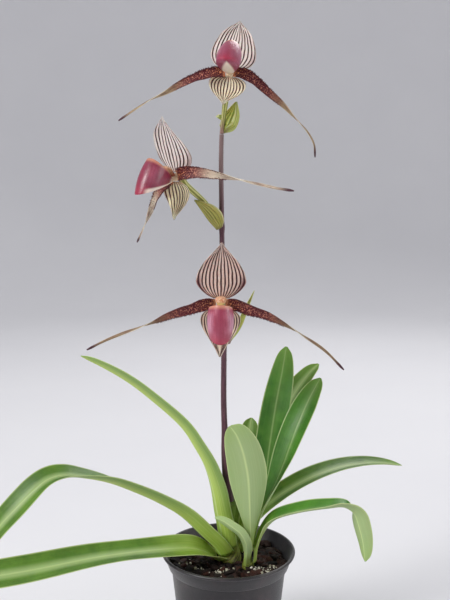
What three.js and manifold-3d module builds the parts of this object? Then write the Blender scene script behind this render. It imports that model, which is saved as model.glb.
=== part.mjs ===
// A potted slipper orchid: two leafy growths in a round nursery pot, and one dark stem with three
// striped flowers. Millimetres, +Z up, origin at the middle of the underside of the pot.
// The front of the plant looks along -Y, and +X is to the viewer's right.

import * as THREE from 'three';
import { mergeVertices } from 'three/addons/utils/BufferGeometryUtils.js';
import Module from 'manifold-3d';

const wasm = await Module();
wasm.setup();

// Driving dimensions

const GAP = 0.3;                  // between pieces that touch

const POT_HEIGHT = 125;
const POT_RIM_RADIUS = 70;
const POT_COLLAR_RADIUS = 68.6;   // just under the rolled rim
const POT_SHOULDER_RADIUS = 60;   // where the straight body meets the collar
const POT_SHOULDER_HEIGHT = 107;
const POT_BASE_RADIUS = 48.5;
const POT_WALL = 1.6;
const POT_FLOOR = 2.6;
const DRAIN_SLOTS = 8;
const DRAIN_RING_RADIUS = 33;

const BARK_LEVEL = 111;           // mean height of the potting mix
const BARK_CHIPS = 34;

const CROWN_FOOT = 104;           // the growths stand in holes this deep in the mix
const CROWN_TAPER = 0.2;          // radius lost for each millimetre of height

const LEAF_THICKNESS = 1;

const STEM_FOOT_RADIUS = 4.2;
const STEM_RADIUS = 3;
const STEM_TOP_RADIUS = 2.2;

const HUB_RADIUS = 4;             // top of the ovary, where all the parts of a flower meet
const TEPAL_THICKNESS = 0.8;
const POUCH_THICKNESS = 0.9;

// Small tools for shapes

const vec = (x, y, z) => new THREE.Vector3(x, y, z);
const vecs = (rows) => rows.map(([x, y, z]) => vec(x, y, z));
const mix = (a, b, k) => a + (b - a) * k;
const radians = (degrees) => degrees * Math.PI / 180;
const ease = (x) => {
  const k = Math.min(Math.max(x, 0), 1);
  return k * k * (3 - 2 * k);
};

// A seeded random number between 0 and 1
function seeded(seed) {
  let state = seed;
  return () => {
    state = (state * 1664525 + 1013904223) % 4294967296;
    return state / 4294967296;
  };
}

// A smooth value through hand-placed pairs of [place, value]
function profile(pairs) {
  const slope = (i) => {
    const a = pairs[Math.max(i - 1, 0)];
    const b = pairs[Math.min(i + 1, pairs.length - 1)];
    return (b[1] - a[1]) / (b[0] - a[0]);
  };
  return (x) => {
    let i = 0;
    while (i < pairs.length - 2 && x > pairs[i + 1][0]) i += 1;
    const [x0, y0] = pairs[i];
    const [x1, y1] = pairs[i + 1];
    const k = Math.min(Math.max((x - x0) / (x1 - x0), 0), 1);
    const run = (x1 - x0) * k * (1 - k);
    return mix(y0, y1, ease(k)) + run * ((1 - k) * slope(i) - k * slope(i + 1));
  };
}

// Closed geometry from a list of points and triangles, turned so that its faces look outwards
function closed(points, triangles) {
  let volume = 0;
  for (const [a, b, c] of triangles) {
    volume += points[a].dot(points[b].clone().cross(points[c]));
  }
  const faces = volume < 0 ? triangles.map(([a, b, c]) => [a, c, b]) : triangles;
  const geometry = new THREE.BufferGeometry();
  geometry.setAttribute('position', new THREE.Float32BufferAttribute(points.flatMap((p) => p.toArray()), 3));
  geometry.setIndex(faces.flat());
  geometry.computeVertexNormals();
  return geometry;
}

// A thin blade. shape(u, t) is its middle surface, u along from 0 to 1 and t across from -1 to 1.
// Both faces are split into the same triangles.
function blade(shape, along, across, thickness) {
  const columns = across + 1;
  const middle = [];
  for (let i = 0; i <= along; i += 1) {
    for (let j = 0; j <= across; j += 1) middle.push(shape(i / along, 2 * j / across - 1));
  }
  const at = (i, j) => middle[Math.min(Math.max(i, 0), along) * columns + Math.min(Math.max(j, 0), across)];
  const points = [];
  for (const side of [0.5, -0.5]) {
    for (let i = 0; i <= along; i += 1) {
      for (let j = 0; j <= across; j += 1) {
        const lengthways = at(i + 1, j).clone().sub(at(i - 1, j));
        const sideways = at(i, j + 1).clone().sub(at(i, j - 1));
        const normal = lengthways.cross(sideways).normalize();
        points.push(at(i, j).clone().addScaledVector(normal, side * thickness));
      }
    }
  }
  const back = middle.length;
  const triangles = [];
  for (let i = 0; i < along; i += 1) {
    for (let j = 0; j < across; j += 1) {
      const a = i * columns + j;
      const [b, c, d] = [a + columns, a + columns + 1, a + 1];
      triangles.push([a, b, c], [a, c, d]);
      triangles.push([a + back, c + back, b + back], [a + back, d + back, c + back]);
    }
  }
  const rim = [];
  for (let j = 0; j < across; j += 1) rim.push(j);
  for (let i = 0; i < along; i += 1) rim.push(i * columns + across);
  for (let j = across; j > 0; j -= 1) rim.push(along * columns + j);
  for (let i = along; i > 0; i -= 1) rim.push(i * columns);
  rim.forEach((a, k) => {
    const b = rim[(k + 1) % rim.length];
    triangles.push([a, b, b + back], [a, b + back, a + back]);
  });
  return closed(points, triangles);
}

// A solid skinned over a row of rings with equal numbers of points, closed by a fan at each end
function skinned(rings) {
  const count = rings[0].length;
  const points = rings.flat();
  const middleOf = (ring) => ring.reduce((sum, p) => sum.add(p), vec(0, 0, 0)).divideScalar(count);
  const first = points.push(middleOf(rings[0])) - 1;
  const last = points.push(middleOf(rings[rings.length - 1])) - 1;
  const triangles = [];
  for (let k = 0; k < count; k += 1) {
    const next = (k + 1) % count;
    for (let i = 0; i < rings.length - 1; i += 1) {
      const [a, b] = [i * count + k, i * count + next];
      triangles.push([a, b, b + count], [a, b + count, a + count]);
    }
    const top = (rings.length - 1) * count;
    triangles.push([first, next, k], [last, top + k, top + next]);
  }
  return closed(points, triangles);
}

// Frames carried along a line without turning about it. facing is the side that the blade's upper
// face looks to at the start. twist(s) turns the frame about the line, in radians.
function carried(line, facing, twist = () => 0) {
  const curve = new THREE.CatmullRomCurve3(line, false, 'centripetal');
  const steps = 160;
  const samples = [];
  let face = facing.clone();
  for (let i = 0; i <= steps; i += 1) {
    const tangent = curve.getTangentAt(i / steps);
    face = face.clone().addScaledVector(tangent, -face.dot(tangent)).normalize();
    samples.push({ point: curve.getPointAt(i / steps), tangent, face });
  }
  const frame = (s) => {
    const { point, tangent, face: up } = samples[Math.round(s * steps)];
    const turned = up.clone().applyAxisAngle(tangent, twist(s));
    return { point, tangent, face: turned, side: tangent.clone().cross(turned) };
  };
  return { frame, length: curve.getLength() };
}

// A round rod along a line, its radius given by radius(s). flat makes its section an oval, and peak
// narrows the upper side of it.
function rod(line, radius, rows, around, facing = vec(0, -1, 0), flat = 1, peak = 0) {
  const { frame } = carried(line, facing);
  const rings = [];
  for (let i = 0; i <= rows; i += 1) {
    const { point, face, side } = frame(i / rows);
    rings.push(Array.from({ length: around }, (_, k) => {
      const angle = 2 * Math.PI * k / around;
      const reach = radius(i / rows) * (1 - peak * Math.sin(angle));
      return point.clone()
        .addScaledVector(side, reach * Math.cos(angle))
        .addScaledVector(face, reach * flat * Math.sin(angle));
    }));
  }
  return skinned(rings);
}

// Joining and cutting

function toSolid(geometry) {
  const bare = geometry.clone();
  bare.deleteAttribute('normal');
  bare.deleteAttribute('uv');
  const merged = mergeVertices(bare, 1e-4);
  const index = merged.index.array;
  const kept = [];
  for (let i = 0; i < index.length; i += 3) {
    const [a, b, c] = [index[i], index[i + 1], index[i + 2]];
    if (a !== b && b !== c && c !== a) kept.push(a, b, c);
  }
  return new wasm.Manifold(new wasm.Mesh({
    numProp: 3,
    vertProperties: new Float32Array(merged.attributes.position.array),
    triVerts: new Uint32Array(kept),
  }));
}

function toGeometry(solid) {
  const { vertProperties, triVerts } = solid.getMesh();
  const geometry = new THREE.BufferGeometry();
  geometry.setAttribute('position', new THREE.BufferAttribute(vertProperties, 3));
  geometry.setIndex(new THREE.BufferAttribute(triVerts, 1));
  geometry.computeVertexNormals();
  return geometry;
}

// Materials, one for each look

const look = (color, roughness) => new THREE.MeshStandardMaterial({ color, roughness, metalness: 0 });
const LOOKS = {
  pot: () => look('#2b2a2d', 0.55),
  bark: () => look('#2a1c15', 0.95),
  crown: () => look('#8fa548', 0.6),
  leaf: () => look('#4f8a35', 0.4),
  stem: () => look('#452a35', 0.6),
  green: () => look('#93a548', 0.55),
  sepal: () => look('#d8c9b0', 0.6),
  petal: () => look('#8f5a4a', 0.65),
  pouch: () => look('#a8485f', 0.4),
  column: () => look('#c9b45a', 0.6),
};

const plant = new THREE.Group();

function add(parent, name, geometry, material) {
  const mesh = new THREE.Mesh(geometry, material());
  mesh.name = name;
  parent.add(mesh);
  return mesh;
}

// The pot: one moulded shell with a rolled rim, a flared collar and a ring of drainage slots

function lathed(outline, segments) {
  const profilePoints = outline.map(([r, z]) => new THREE.Vector2(r, z));
  return new THREE.LatheGeometry(profilePoints, segments).rotateX(Math.PI / 2);
}

function potGeometry() {
  const shell = toSolid(lathed([
    [0, 0], [POT_BASE_RADIUS - 1.5, 0], [POT_BASE_RADIUS, 1.6],
    [POT_SHOULDER_RADIUS, POT_SHOULDER_HEIGHT], [POT_COLLAR_RADIUS, POT_HEIGHT - 3.2],
    [POT_RIM_RADIUS, POT_HEIGHT - 2.8], [POT_RIM_RADIUS, POT_HEIGHT - 0.6], [POT_RIM_RADIUS - 1, POT_HEIGHT],
    [POT_COLLAR_RADIUS - 1.2, POT_HEIGHT - 0.8], [POT_SHOULDER_RADIUS - POT_WALL + 0.3, POT_SHOULDER_HEIGHT + 0.6],
    [POT_BASE_RADIUS - POT_WALL - 0.3, POT_FLOOR], [0, POT_FLOOR],
  ], 48));
  const slots = Array.from({ length: DRAIN_SLOTS }, (_, k) => toSolid(
    new THREE.BoxGeometry(13, 5, 3 * POT_FLOOR)
      .translate(DRAIN_RING_RADIUS, 0, 0)
      .rotateZ(2 * Math.PI * (k + 0.5) / DRAIN_SLOTS),
  ));
  return toGeometry(slots.reduce((solid, slot) => solid.subtract(slot), shell));
}

add(plant, 'pot', potGeometry(), LOOKS.pot);

// The two growths: tapered crowns of packed leaf bases. The old flowering one is stout and leans a
// little, and the young one stands upright in front of it.

const CROWNS = {
  flowering: { foot: vec(1, 5, CROWN_FOOT), tip: vec(2.6, 0.8, 176), widest: 12.5, slimmest: 7 },
  young: { foot: vec(20, -14, CROWN_FOOT), tip: vec(20.5, -14, 142), widest: 6.6, slimmest: 3.2 },
};

function crownAt(name, z) {
  const { foot, tip, widest, slimmest } = CROWNS[name];
  const point = foot.clone().lerp(tip, (z - foot.z) / (tip.z - foot.z));
  const radius = widest - CROWN_TAPER * Math.max(z - BARK_LEVEL - 2, 0);
  return { point, radius: Math.max(radius, slimmest) };
}

function crownGeometry(name, extra = 0, top = CROWNS[name].tip.z) {
  const heights = [CROWN_FOOT - extra, ...[0, 0.2, 0.4, 0.6, 0.8, 1].map((share) => mix(113, top, share))];
  return skinned(heights.map((z) => {
    const { point, radius } = crownAt(name, z);
    return Array.from({ length: 14 }, (_, k) => {
      const angle = 2 * Math.PI * k / 14;
      return point.clone().add(vec(Math.cos(angle), Math.sin(angle), 0).multiplyScalar(radius + extra));
    });
  }));
}

add(plant, 'crown_flowering', crownGeometry('flowering'), LOOKS.crown);
add(plant, 'crown_young', crownGeometry('young'), LOOKS.crown);

// The potting mix: a plug that fills the pot, with a rough top and loose chips of bark grown into
// it, and a plain hole for each growth

function barkGeometry() {
  const random = seeded(11);
  const inner = (z) => mix(POT_BASE_RADIUS - POT_WALL - 0.3, POT_SHOULDER_RADIUS - POT_WALL + 0.3,
    (z - POT_FLOOR) / (POT_SHOULDER_HEIGHT + 0.6 - POT_FLOOR)) - 2 * GAP;
  const top = BARK_LEVEL - 1;
  let plug = toSolid(lathed([
    [0, POT_FLOOR + GAP], [inner(POT_FLOOR), POT_FLOOR + GAP], [inner(POT_SHOULDER_HEIGHT), POT_SHOULDER_HEIGHT - 0.5],
    [inner(POT_SHOULDER_HEIGHT) + 0.6, top - 1.2], [inner(POT_SHOULDER_HEIGHT) - 2, top - 0.4],
    [36, top + 0.6], [0, top + 1.2],
  ], 32));
  for (let k = 0; k < BARK_CHIPS; k += 1) {
    const turn = k * 2.4 + random() * 0.8;
    const reach = 16 + 38 * Math.sqrt((k + random()) / BARK_CHIPS);
    const size = mix(3.4, 6.2, random());
    const chip = new THREE.IcosahedronGeometry(size, 0)
      .scale(1, mix(0.5, 0.8, random()), mix(0.35, 0.55, random()))
      .rotateX(mix(-0.5, 0.5, random()))
      .rotateZ(random() * Math.PI)
      .translate(Math.min(reach, 55 - size) * Math.cos(turn), Math.min(reach, 55 - size) * Math.sin(turn), top);
    plug = plug.add(toSolid(chip));
  }
  for (const name of Object.keys(CROWNS)) plug = plug.subtract(toSolid(crownGeometry(name, GAP, 146)));
  return toGeometry(plug);
}

add(plant, 'bark_mix', barkGeometry(), LOOKS.bark);

// The leaves: keeled straps with rounded ends. Each base grows from the crown at the height node,
// on the side given by clasp, and wraps it through the angle hug either way. tuck is the room left
// for the younger leaf bases that it wraps as well. line holds the places that the midrib passes on
// its way out, neck is the distance in which the base opens out, foot is the share of the full width
// that the blade has there, and turn gives how far the blade has turned about its midrib, in
// degrees, from base to tip.

const LEAVES = [
  { name: 'leaf_left_low', crown: 'flowering', node: 113, clasp: -140, hug: 1, tuck: 0, foot: 0.85, neck: 80,
    width: 17.5, wrap: 0.35, fold: 0.16, turn: [[0, -8], [0.1, -36], [0.25, -32], [0.4, -27], [0.6, -34], [1, -56]],
    line: [[-18, -10, 121.5], [-27, -17, 129.5], [-38, -25, 136], [-66, -39, 141], [-126, -61, 143], [-187, -83, 140],
      [-242, -100, 137], [-286, -112, 128]] },
  { name: 'leaf_left_middle', crown: 'flowering', node: 119, clasp: -130, hug: 1.2, tuck: 0, foot: 1.05, neck: 150,
    width: 15.5, wrap: 0.4, fold: 0.24, turn: [[0, 0], [0.25, -6], [0.45, -14], [0.6, -34], [0.75, -64], [1, -80]],
    line: [[-13.5, -9.5, 131], [-25, -13, 144], [-47, -19, 168], [-72, -27, 187], [-96, -36, 202], [-119, -44, 214],
      [-142, -52, 221.5], [-160, -58, 225], [-176, -63, 221.5], [-204, -73, 197], [-222, -77, 177], [-239, -80, 148]] },
  { name: 'leaf_left_high', crown: 'flowering', node: 128, clasp: -128, hug: 1.45, tuck: 0, foot: 0.95, neck: 170,
    width: 15, wrap: 0.4, fold: 0.26, turn: [[0, 0], [0.15, -4], [0.45, -28], [1, -30]],
    line: [[-7.5, -7.5, 148], [-11, -7.5, 166], [-16, -6.5, 193], [-23.5, -4, 216], [-34, -1, 235], [-48, 2, 256],
      [-82, 7, 286], [-106, 9, 304], [-134, 11, 320], [-153, 12, 329]] },
  { name: 'leaf_right_arching', crown: 'flowering', node: 118, clasp: 55, hug: 0.95, tuck: 0, foot: 0.5, neck: 70,
    width: 14.5, wrap: 0.45, fold: 0.2, turn: [[0, 0], [0.25, -14], [0.6, -24], [1, -28]],
    line: [[17, 20, 134], [25, 25, 145], [38, 32, 156], [62, 42, 171], [90, 52, 183], [120, 66, 189], [150, 80, 190],
      [177, 92, 187], [202, 102, 181]] },
  { name: 'leaf_back_right', crown: 'flowering', node: 128, clasp: 34, hug: 0.9, tuck: 0, foot: 0.5, neck: 80,
    width: 15, wrap: 0.5, fold: 0.25, turn: [[0, 0], [1, 15]],
    line: [[18, 13, 145], [25, 19, 162], [36, 29, 192], [50, 40, 231], [70, 54, 274], [88, 65, 297], [100, 71, 308]] },
  { name: 'leaf_back_short', crown: 'flowering', node: 143, clasp: 80, hug: 1.1, tuck: 0, foot: 0.5, neck: 60,
    width: 14, wrap: 0.5, fold: 0.25, turn: [[0, 0], [1, 0]],
    line: [[5.5, 14, 158], [9, 18, 172], [14, 25, 192], [20, 33, 222], [25, 42, 255]] },
  { name: 'leaf_small_front', crown: 'young', node: 115, clasp: -104, hug: 0.42, tuck: 0, foot: 0.3, neck: 30,
    width: 5.6, wrap: 0.6, fold: 0.2, turn: [[0, 0], [0.3, 0], [1, 20]],
    line: [[18.5, -27, 126], [19, -30, 136], [17, -33, 147], [12, -34, 156], [3, -33, 163], [-6, -30, 168],
      [-14, -27, 170]] },
  { name: 'leaf_right_drooping', crown: 'young', node: 118, clasp: -7, hug: 0.8, tuck: 1, foot: 0.55, neck: 60,
    width: 13.5, wrap: 0.45, fold: 0.25,
    turn: [[0, 0], [0.14, 10], [0.3, -8], [0.55, -16], [0.68, -30], [0.78, -75], [1, -80]],
    line: [[29.4, -16.4, 133], [35, -19, 150], [46.5, -27, 168], [71, -36, 180], [98, -46, 188], [114, -51, 191],
      [123, -54, 186], [129, -57, 170], [133, -58, 152], [134, -59, 138]] },
  { name: 'leaf_right_upright', crown: 'young', node: 133, clasp: 2, hug: 1.1, tuck: 0, foot: 0.5, neck: 110,
    width: 16, wrap: 0.5, fold: 0.25, turn: [[0, 0], [0.1, 0], [0.8, 50], [1, 50]],
    line: [[27, -14, 145], [31.5, -13.5, 163], [40.5, -12, 182], [49, -9, 199], [58, -4, 220], [72, 6, 256],
      [84, 15, 281], [97, 24, 303]] },
  { name: 'leaf_back_tall', crown: 'young', node: 127, clasp: 76, hug: 0.9, tuck: 0, foot: 0.4, neck: 100,
    width: 16, wrap: 0.45, fold: 0.25, turn: [[0, 0], [0.8, 15], [1, 15]],
    line: [[25, -3, 144], [29, 2, 160], [34, 9, 176], [39, 14, 196], [43, 20, 226], [50, 28, 271], [57, 36, 306],
      [62, 43, 333]] },
  { name: 'leaf_front', crown: 'young', node: 123, clasp: -88, hug: 0.42, tuck: 0, foot: 0.3, neck: 100,
    width: 20, wrap: 0.45, fold: 0.16, turn: [[0, 0], [1, 0]],
    line: [[22, -24, 140], [22, -26, 160], [21, -31, 190], [19, -37, 218], [13.5, -44, 246], [7, -49, 264],
      [1, -52, 273]] },
];

function leafGeometry({ crown, node, clasp, hug, tuck, foot, neck, width, wrap, fold, turn, line }) {
  const outwards = vec(Math.cos(radians(clasp)), Math.sin(radians(clasp)), 0);
  const { point, radius } = crownAt(crown, node);
  const baseRadius = radius + GAP + LEAF_THICKNESS / 2 + 0.4 + tuck;
  const base = point.clone().addScaledVector(outwards, baseRadius);
  const outline = profile([[0, foot], [0.12, 0.75 * foot + 0.25], [0.3, 0.88], [0.5, 1], [0.68, 0.99], [0.82, 0.88],
    [0.92, 0.66], [0.97, 0.43], [1, 0.08]]);
  const turned = profile(turn);
  const { frame, length } = carried([base, ...vecs(line)], outwards.clone().negate(), (s) => radians(turned(s)));
  return blade((u, t) => {
    const s = 1 - (1 - u) ** 1.35;
    const open = ease(s * length / neck);
    const half = mix(baseRadius * hug, width * outline(s), open);
    const bend = mix(hug, wrap, open);
    const keel = open * fold * (1.2 - 0.8 * s) * half * (Math.hypot(t, 0.15) - 0.15);
    const { point: centre, face, side } = frame(s);
    return centre.clone()
      .addScaledVector(side, half / bend * Math.sin(bend * t))
      .addScaledVector(face, half / bend * (1 - Math.cos(bend * t)) + keel);
  }, Math.round(8 + length / 28), 6, LEAF_THICKNESS);
}

for (const leaf of LEAVES) add(plant, leaf.name, leafGeometry(leaf), LOOKS.leaf);

// The flower stem: a dark rod that rises from the flowering growth, thicker where a dry sheath
// wraps its foot, and swollen a little where each flower leaves it

const STEM_LINE = vecs([[1.4, 0.4, 177], [-0.8, 0, 190], [-2.6, 0, 213], [-3.7, 0, 243], [-5.1, 0, 283],
  [-4.9, 0, 343], [-5.9, 0, 389], [-6.8, 0, 450], [-7.3, 0, 490], [-7.6, 0, 530], [-7.1, 0, 554]]);
const STEM_NODES = [0.449, 0.758];

const stemRadius = profile([[0, STEM_FOOT_RADIUS], [0.06, STEM_FOOT_RADIUS + 0.3], [0.15, STEM_FOOT_RADIUS + 0.2],
  [0.2, STEM_RADIUS + 0.4], [0.25, STEM_RADIUS], [0.55, STEM_RADIUS - 0.3], [1, STEM_TOP_RADIUS]]);

add(plant, 'flower_stem', rod(STEM_LINE, (s) => STEM_NODES.reduce(
  (radius, node) => radius + 0.6 * Math.exp(-(((s - node) / 0.012) ** 2)), stemRadius(s)), 32, 10), LOOKS.stem);

// The flowers. Each stands at centre, turned to the viewer's left by turn, nodding forward by nod
// and rolled about the line of sight by roll. In a flower's own frame +X is to the right of
// someone facing it, +Z is up towards the upper sepal and -Y comes forward.

const FLOWERS = [
  { name: 'low', centre: [-7.8, -46, 392.7], turn: 0, nod: 12, roll: 1, size: 1, drop: 15, hood: 8,
    upper: 57.5, lower: 50,
    left: [[-15, -4, 0], [-29, -7, -4], [-48, -8, -10], [-67, -7, -19], [-92, -5, -30], [-112, -3, -40],
      [-130, 0, -51]],
    right: [[15, -4, 0], [28, -7, -4], [42, -8, -8], [62, -7, -18], [82, -6, -31], [102, -4, -46], [122, -2, -67]],
    stalk: [[-0.2, -2.4, 345.5], [3.5, -7, 356], [5.5, -15, 369], [4, -25, 382], [-1.5, -34, 391]],
    bract: [[-1.2, 3.6, 344], [4.6, 2.4, 352], [12, -4, 365], [18.4, -10, 382], [25.4, -14, 400.5]],
    bractWidth: 3.6 },
  { name: 'middle', centre: [-51, -28, 512.2], turn: 47, nod: 3, roll: 0, size: 1, drop: 0, hood: 14,
    upper: 52.5, lower: 36,
    left: [[-12, -3, -6], [-24, -3, -15], [-38, 0, -28], [-53, 4, -42], [-68, 8, -55], [-83, 12, -68]],
    right: [[13, -3.6, 3.4], [28, 1, 4.2], [50, 9, 1], [71, 13, -2.4], [91, 18, -7], [109, 22, -11],
      [127, 28, -14]],
    stalk: [[-10.8, -2.2, 465], [-16, -6, 478], [-24, -9, 488], [-33, -13, 496.5], [-42, -18.5, 505]],
    bract: [[-11.6, -2.2, 460.5], [-19.4, -7.4, 469.5], [-26.6, -12.4, 480], [-33.4, -16.4, 490]], bractWidth: 14.5 },
  { name: 'top', centre: [0.6, -20, 610.4], turn: 2, nod: -23, roll: 9, size: 0.92, drop: -2, hood: -5,
    upper: 61, lower: 34,
    left: [[-14, -4, -4], [-29, -5, -11], [-46, -3, -21], [-62, 2, -31], [-78, 8, -39], [-93, 16, -48],
      [-110, 27, -58]],
    right: [[14, -4, -1], [27, -3, -6], [43, 2, -15], [59, 11, -21], [75, 23, -29], [89, 35, -36], [98, 47, -44],
      [101, 56, -54]],
    stalk: [[-7.1, 0, 554.4], [-5.4, -0.5, 568], [-3.6, -2, 583], [-1.4, -6, 598]],
    bract: [[-5, 3.4, 555.6], [4.4, 7.2, 559], [9.4, 7.4, 571], [8, 5.6, 586]], bractWidth: 20 },
];

const dorsalOutline = profile([[0, 7], [0.04, 12.4], [0.1, 17.4], [0.18, 21.4], [0.27, 23.7], [0.36, 23.5],
  [0.48, 21.7], [0.58, 19], [0.68, 15.8], [0.78, 11.2], [0.86, 7], [0.93, 3.4], [0.97, 1.6], [1, 0.7]]);
const dorsalCup = profile([[0, 0], [0.12, 3.6], [0.3, 2], [0.5, -1.5], [0.75, -4.5], [1, 0]]);
const synsepalOutline = profile([[0, 7], [0.06, 13.5], [0.13, 17.5], [0.22, 19.2], [0.32, 19], [0.44, 17],
  [0.56, 13.8], [0.66, 10.6], [0.76, 7.2], [0.86, 4.2], [0.94, 2.2], [1, 0.7]]);
const petalOutline = profile([[0, 4.4], [0.05, 5.8], [0.12, 5.9], [0.2, 5.1], [0.3, 4.3], [0.42, 3.2], [0.58, 2.3],
  [0.75, 1.5], [0.9, 1.1], [0.96, 1.15], [1, 0.6]]);
const bractOutline = profile([[0, 0.42], [0.15, 0.8], [0.4, 1], [0.65, 0.85], [0.85, 0.45], [1, 0.08]]);

// The upper sepal, leaning forward by hood at its point, with its lower margins rolled back
function dorsalGeometry(length, hood) {
  return blade((s, t) => vec(
    dorsalOutline(s) * t,
    0.6 + Math.sin(Math.PI * s) - hood * s ** 1.15 + dorsalCup(s) * t * t,
    HUB_RADIUS + GAP + 0.2 + length * s,
  ), 14, 6, TEPAL_THICKNESS);
}

// The two lower sepals, grown together into one boat-shaped piece behind the pouch
function synsepalGeometry(length) {
  return blade((s, t) => vec(
    synsepalOutline(s) * t,
    0.6 + 5 * Math.sin(Math.PI * Math.min(s * 1.1, 1)) - 5 * s * s - 0.22 * synsepalOutline(s) * t * t,
    -HUB_RADIUS - GAP - 0.2 - length * s,
  ), 12, 6, TEPAL_THICKNESS);
}

// A petal: a long ribbon that narrows and makes half a turn on its way out
function petalGeometry(line, sign) {
  const base = vec(line[0][0], 0, line[0][2]).setLength(HUB_RADIUS + GAP + 0.3);
  base.y = -1.1;
  const { frame } = carried([base, ...vecs(line)], vec(0, -1, 0), (s) => sign * Math.PI * ease((s - 0.25) / 0.7));
  return blade((s, t) => {
    const { point, face, side } = frame(s);
    return point.clone()
      .addScaledVector(side, petalOutline(s) * t)
      .addScaledVector(face, 0.25 * petalOutline(s) * t * t);
  }, 18, 2, TEPAL_THICKNESS);
}

// The lip: a bag with an open mouth on top. Its wall hangs from the mouth to a narrow sole that
// runs from the claw at the back to the rounded toe.
const POUCH_AROUND = 16;
const POUCH_ROWS = 6;

function pouchGeometry(drop) {
  const outer = [];
  for (let i = 0; i <= POUCH_ROWS; i += 1) {
    for (let k = 0; k < POUCH_AROUND; k += 1) {
      const angle = 2 * Math.PI * k / POUCH_AROUND;
      const forward = (1 + Math.cos(angle)) / 2;
      const across = Math.sin(angle);
      const dip = across * across;
      const mouth = vec(mix(9.5, 12, forward) * across, -mix(9, 31, forward), mix(1.2, 19, forward) - 1.5 * dip);
      const flank = vec(mix(9, 18, forward) * across, -mix(4.3, 43, forward), mix(-1.6, 5, forward) - 2 * dip);
      const sole = vec(mix(2, 14, Math.sqrt(forward)) * across, -mix(2.6, 48, forward), mix(-3.2, -14, forward));
      const q = i / POUCH_ROWS;
      outer.push(mouth.multiplyScalar((1 - q) ** 2)
        .addScaledVector(flank, 2 * q * (1 - q))
        .addScaledVector(sole, q * q));
    }
  }
  const rows = [];
  for (let i = 0; i < POUCH_ROWS; i += 1) {
    for (let k = 0; k < POUCH_AROUND; k += 1) {
      const next = (k + 1) % POUCH_AROUND;
      const [a, b] = [i * POUCH_AROUND + k, i * POUCH_AROUND + next];
      rows.push([a, b, b + POUCH_AROUND], [a, b + POUCH_AROUND, a + POUCH_AROUND]);
    }
  }
  const sole = POUCH_ROWS * POUCH_AROUND;
  const partner = (k) => sole + (POUCH_AROUND - k) % POUCH_AROUND;
  for (let k = 0; k < POUCH_AROUND / 2; k += 1) {
    const [a, b, c, d] = [sole + k, sole + k + 1, partner(k + 1), partner(k)];
    if (b !== c) rows.push([a, b, c]);
    if (a !== d) rows.push([a, c, d]);
  }
  const normals = outer.map(() => vec(0, 0, 0));
  for (const [a, b, c] of rows) {
    const normal = outer[b].clone().sub(outer[a]).cross(outer[c].clone().sub(outer[a]));
    for (const corner of [a, b, c]) normals[corner].add(normal);
  }
  const inner = outer.map((p, i) => p.clone().addScaledVector(normals[i].normalize(), -POUCH_THICKNESS));
  const triangles = [...rows, ...rows.map(([a, b, c]) => [a + outer.length, c + outer.length, b + outer.length])];
  for (let k = 0; k < POUCH_AROUND; k += 1) {
    const next = (k + 1) % POUCH_AROUND;
    triangles.push([k, k + outer.length, next + outer.length], [k, next + outer.length, next]);
  }
  return closed([...outer, ...inner], triangles)
    .translate(0, 2.6, 3.2).rotateX(radians(drop)).translate(0, -2.6, -3.2);
}

// The column: a short stout post bent over the mouth of the pouch, ending in a beaked shield
function columnGeometry() {
  const line = vecs([[0, -3.1, 2], [0, -5.5, 4.6], [0, -9, 8], [0, -13, 9.4], [0, -17, 8.4], [0, -20, 5]]);
  const radius = profile([[0, 2.6], [0.25, 4.2], [0.5, 4.7], [0.7, 4.8], [0.87, 4], [1, 2.4]]);
  return rod(line, radius, 8, 10, vec(0, 0, 1), 0.65, 0.45);
}

// The ovary on its stalk: it leaves the stem and ends behind the flower as the hub
function stalkGeometry(stalk, flower) {
  const hub = [vec(0, 5, 0), vec(0, -1.6, 0)].map((p) => p.multiplyScalar(flower.size).applyMatrix4(flower.matrix));
  const radius = profile([[0, 1.8], [0.25, 2.2], [0.6, 2.9], [0.88, 3.3], [1, HUB_RADIUS * flower.size]]);
  return rod([...vecs(stalk), ...hub], radius, 12, 8);
}

// The bract: a folded green boat that holds the foot of the ovary
function bractGeometry({ bract, bractWidth, stalk }) {
  const line = vecs(bract);
  const inwards = vecs(stalk)[1].sub(line[1]);
  const { frame } = carried(line, inwards);
  return blade((s, t) => {
    const half = bractWidth * bractOutline(s);
    const bend = 1.15;
    const { point, face, side } = frame(s);
    return point.clone()
      .addScaledVector(side, half / bend * Math.sin(bend * t))
      .addScaledVector(face, half / bend * (1 - Math.cos(bend * t)) + 0.3 * half * Math.abs(t));
  }, 8, 4, TEPAL_THICKNESS);
}

for (const flower of FLOWERS) {
  const group = new THREE.Group();
  group.position.set(...flower.centre);
  group.rotation.set(radians(flower.nod), radians(flower.roll), -radians(flower.turn), 'ZXY');
  group.updateMatrix();
  flower.matrix = group.matrix;
  plant.add(group);
  const part = (suffix, geometry, material) => add(
    group, `flower_${flower.name}_${suffix}`, geometry.scale(flower.size, flower.size, flower.size), material);
  part('dorsal_sepal', dorsalGeometry(flower.upper, flower.hood), LOOKS.sepal);
  part('lower_sepal', synsepalGeometry(flower.lower), LOOKS.sepal);
  part('petal_left', petalGeometry(flower.left, -1), LOOKS.petal);
  part('petal_right', petalGeometry(flower.right, 1), LOOKS.petal);
  part('pouch', pouchGeometry(flower.drop), LOOKS.pouch);
  part('column', columnGeometry(), LOOKS.column);
  add(plant, `flower_${flower.name}_ovary`, stalkGeometry(flower.stalk, flower), LOOKS.green);
  add(plant, `flower_${flower.name}_bract`, bractGeometry(flower), LOOKS.green);
}

export default plant;
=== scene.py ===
# The looks of a potted slipper orchid: a nursery pot of bark, two fans of strap leaves, and one dark
# stem with three striped flowers. Metres, +Z up, the flowers facing -Y, +X to the viewer's right.

import math
import random

import bmesh
import bpy
import numpy as np
from mathutils import Matrix, Vector


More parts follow.
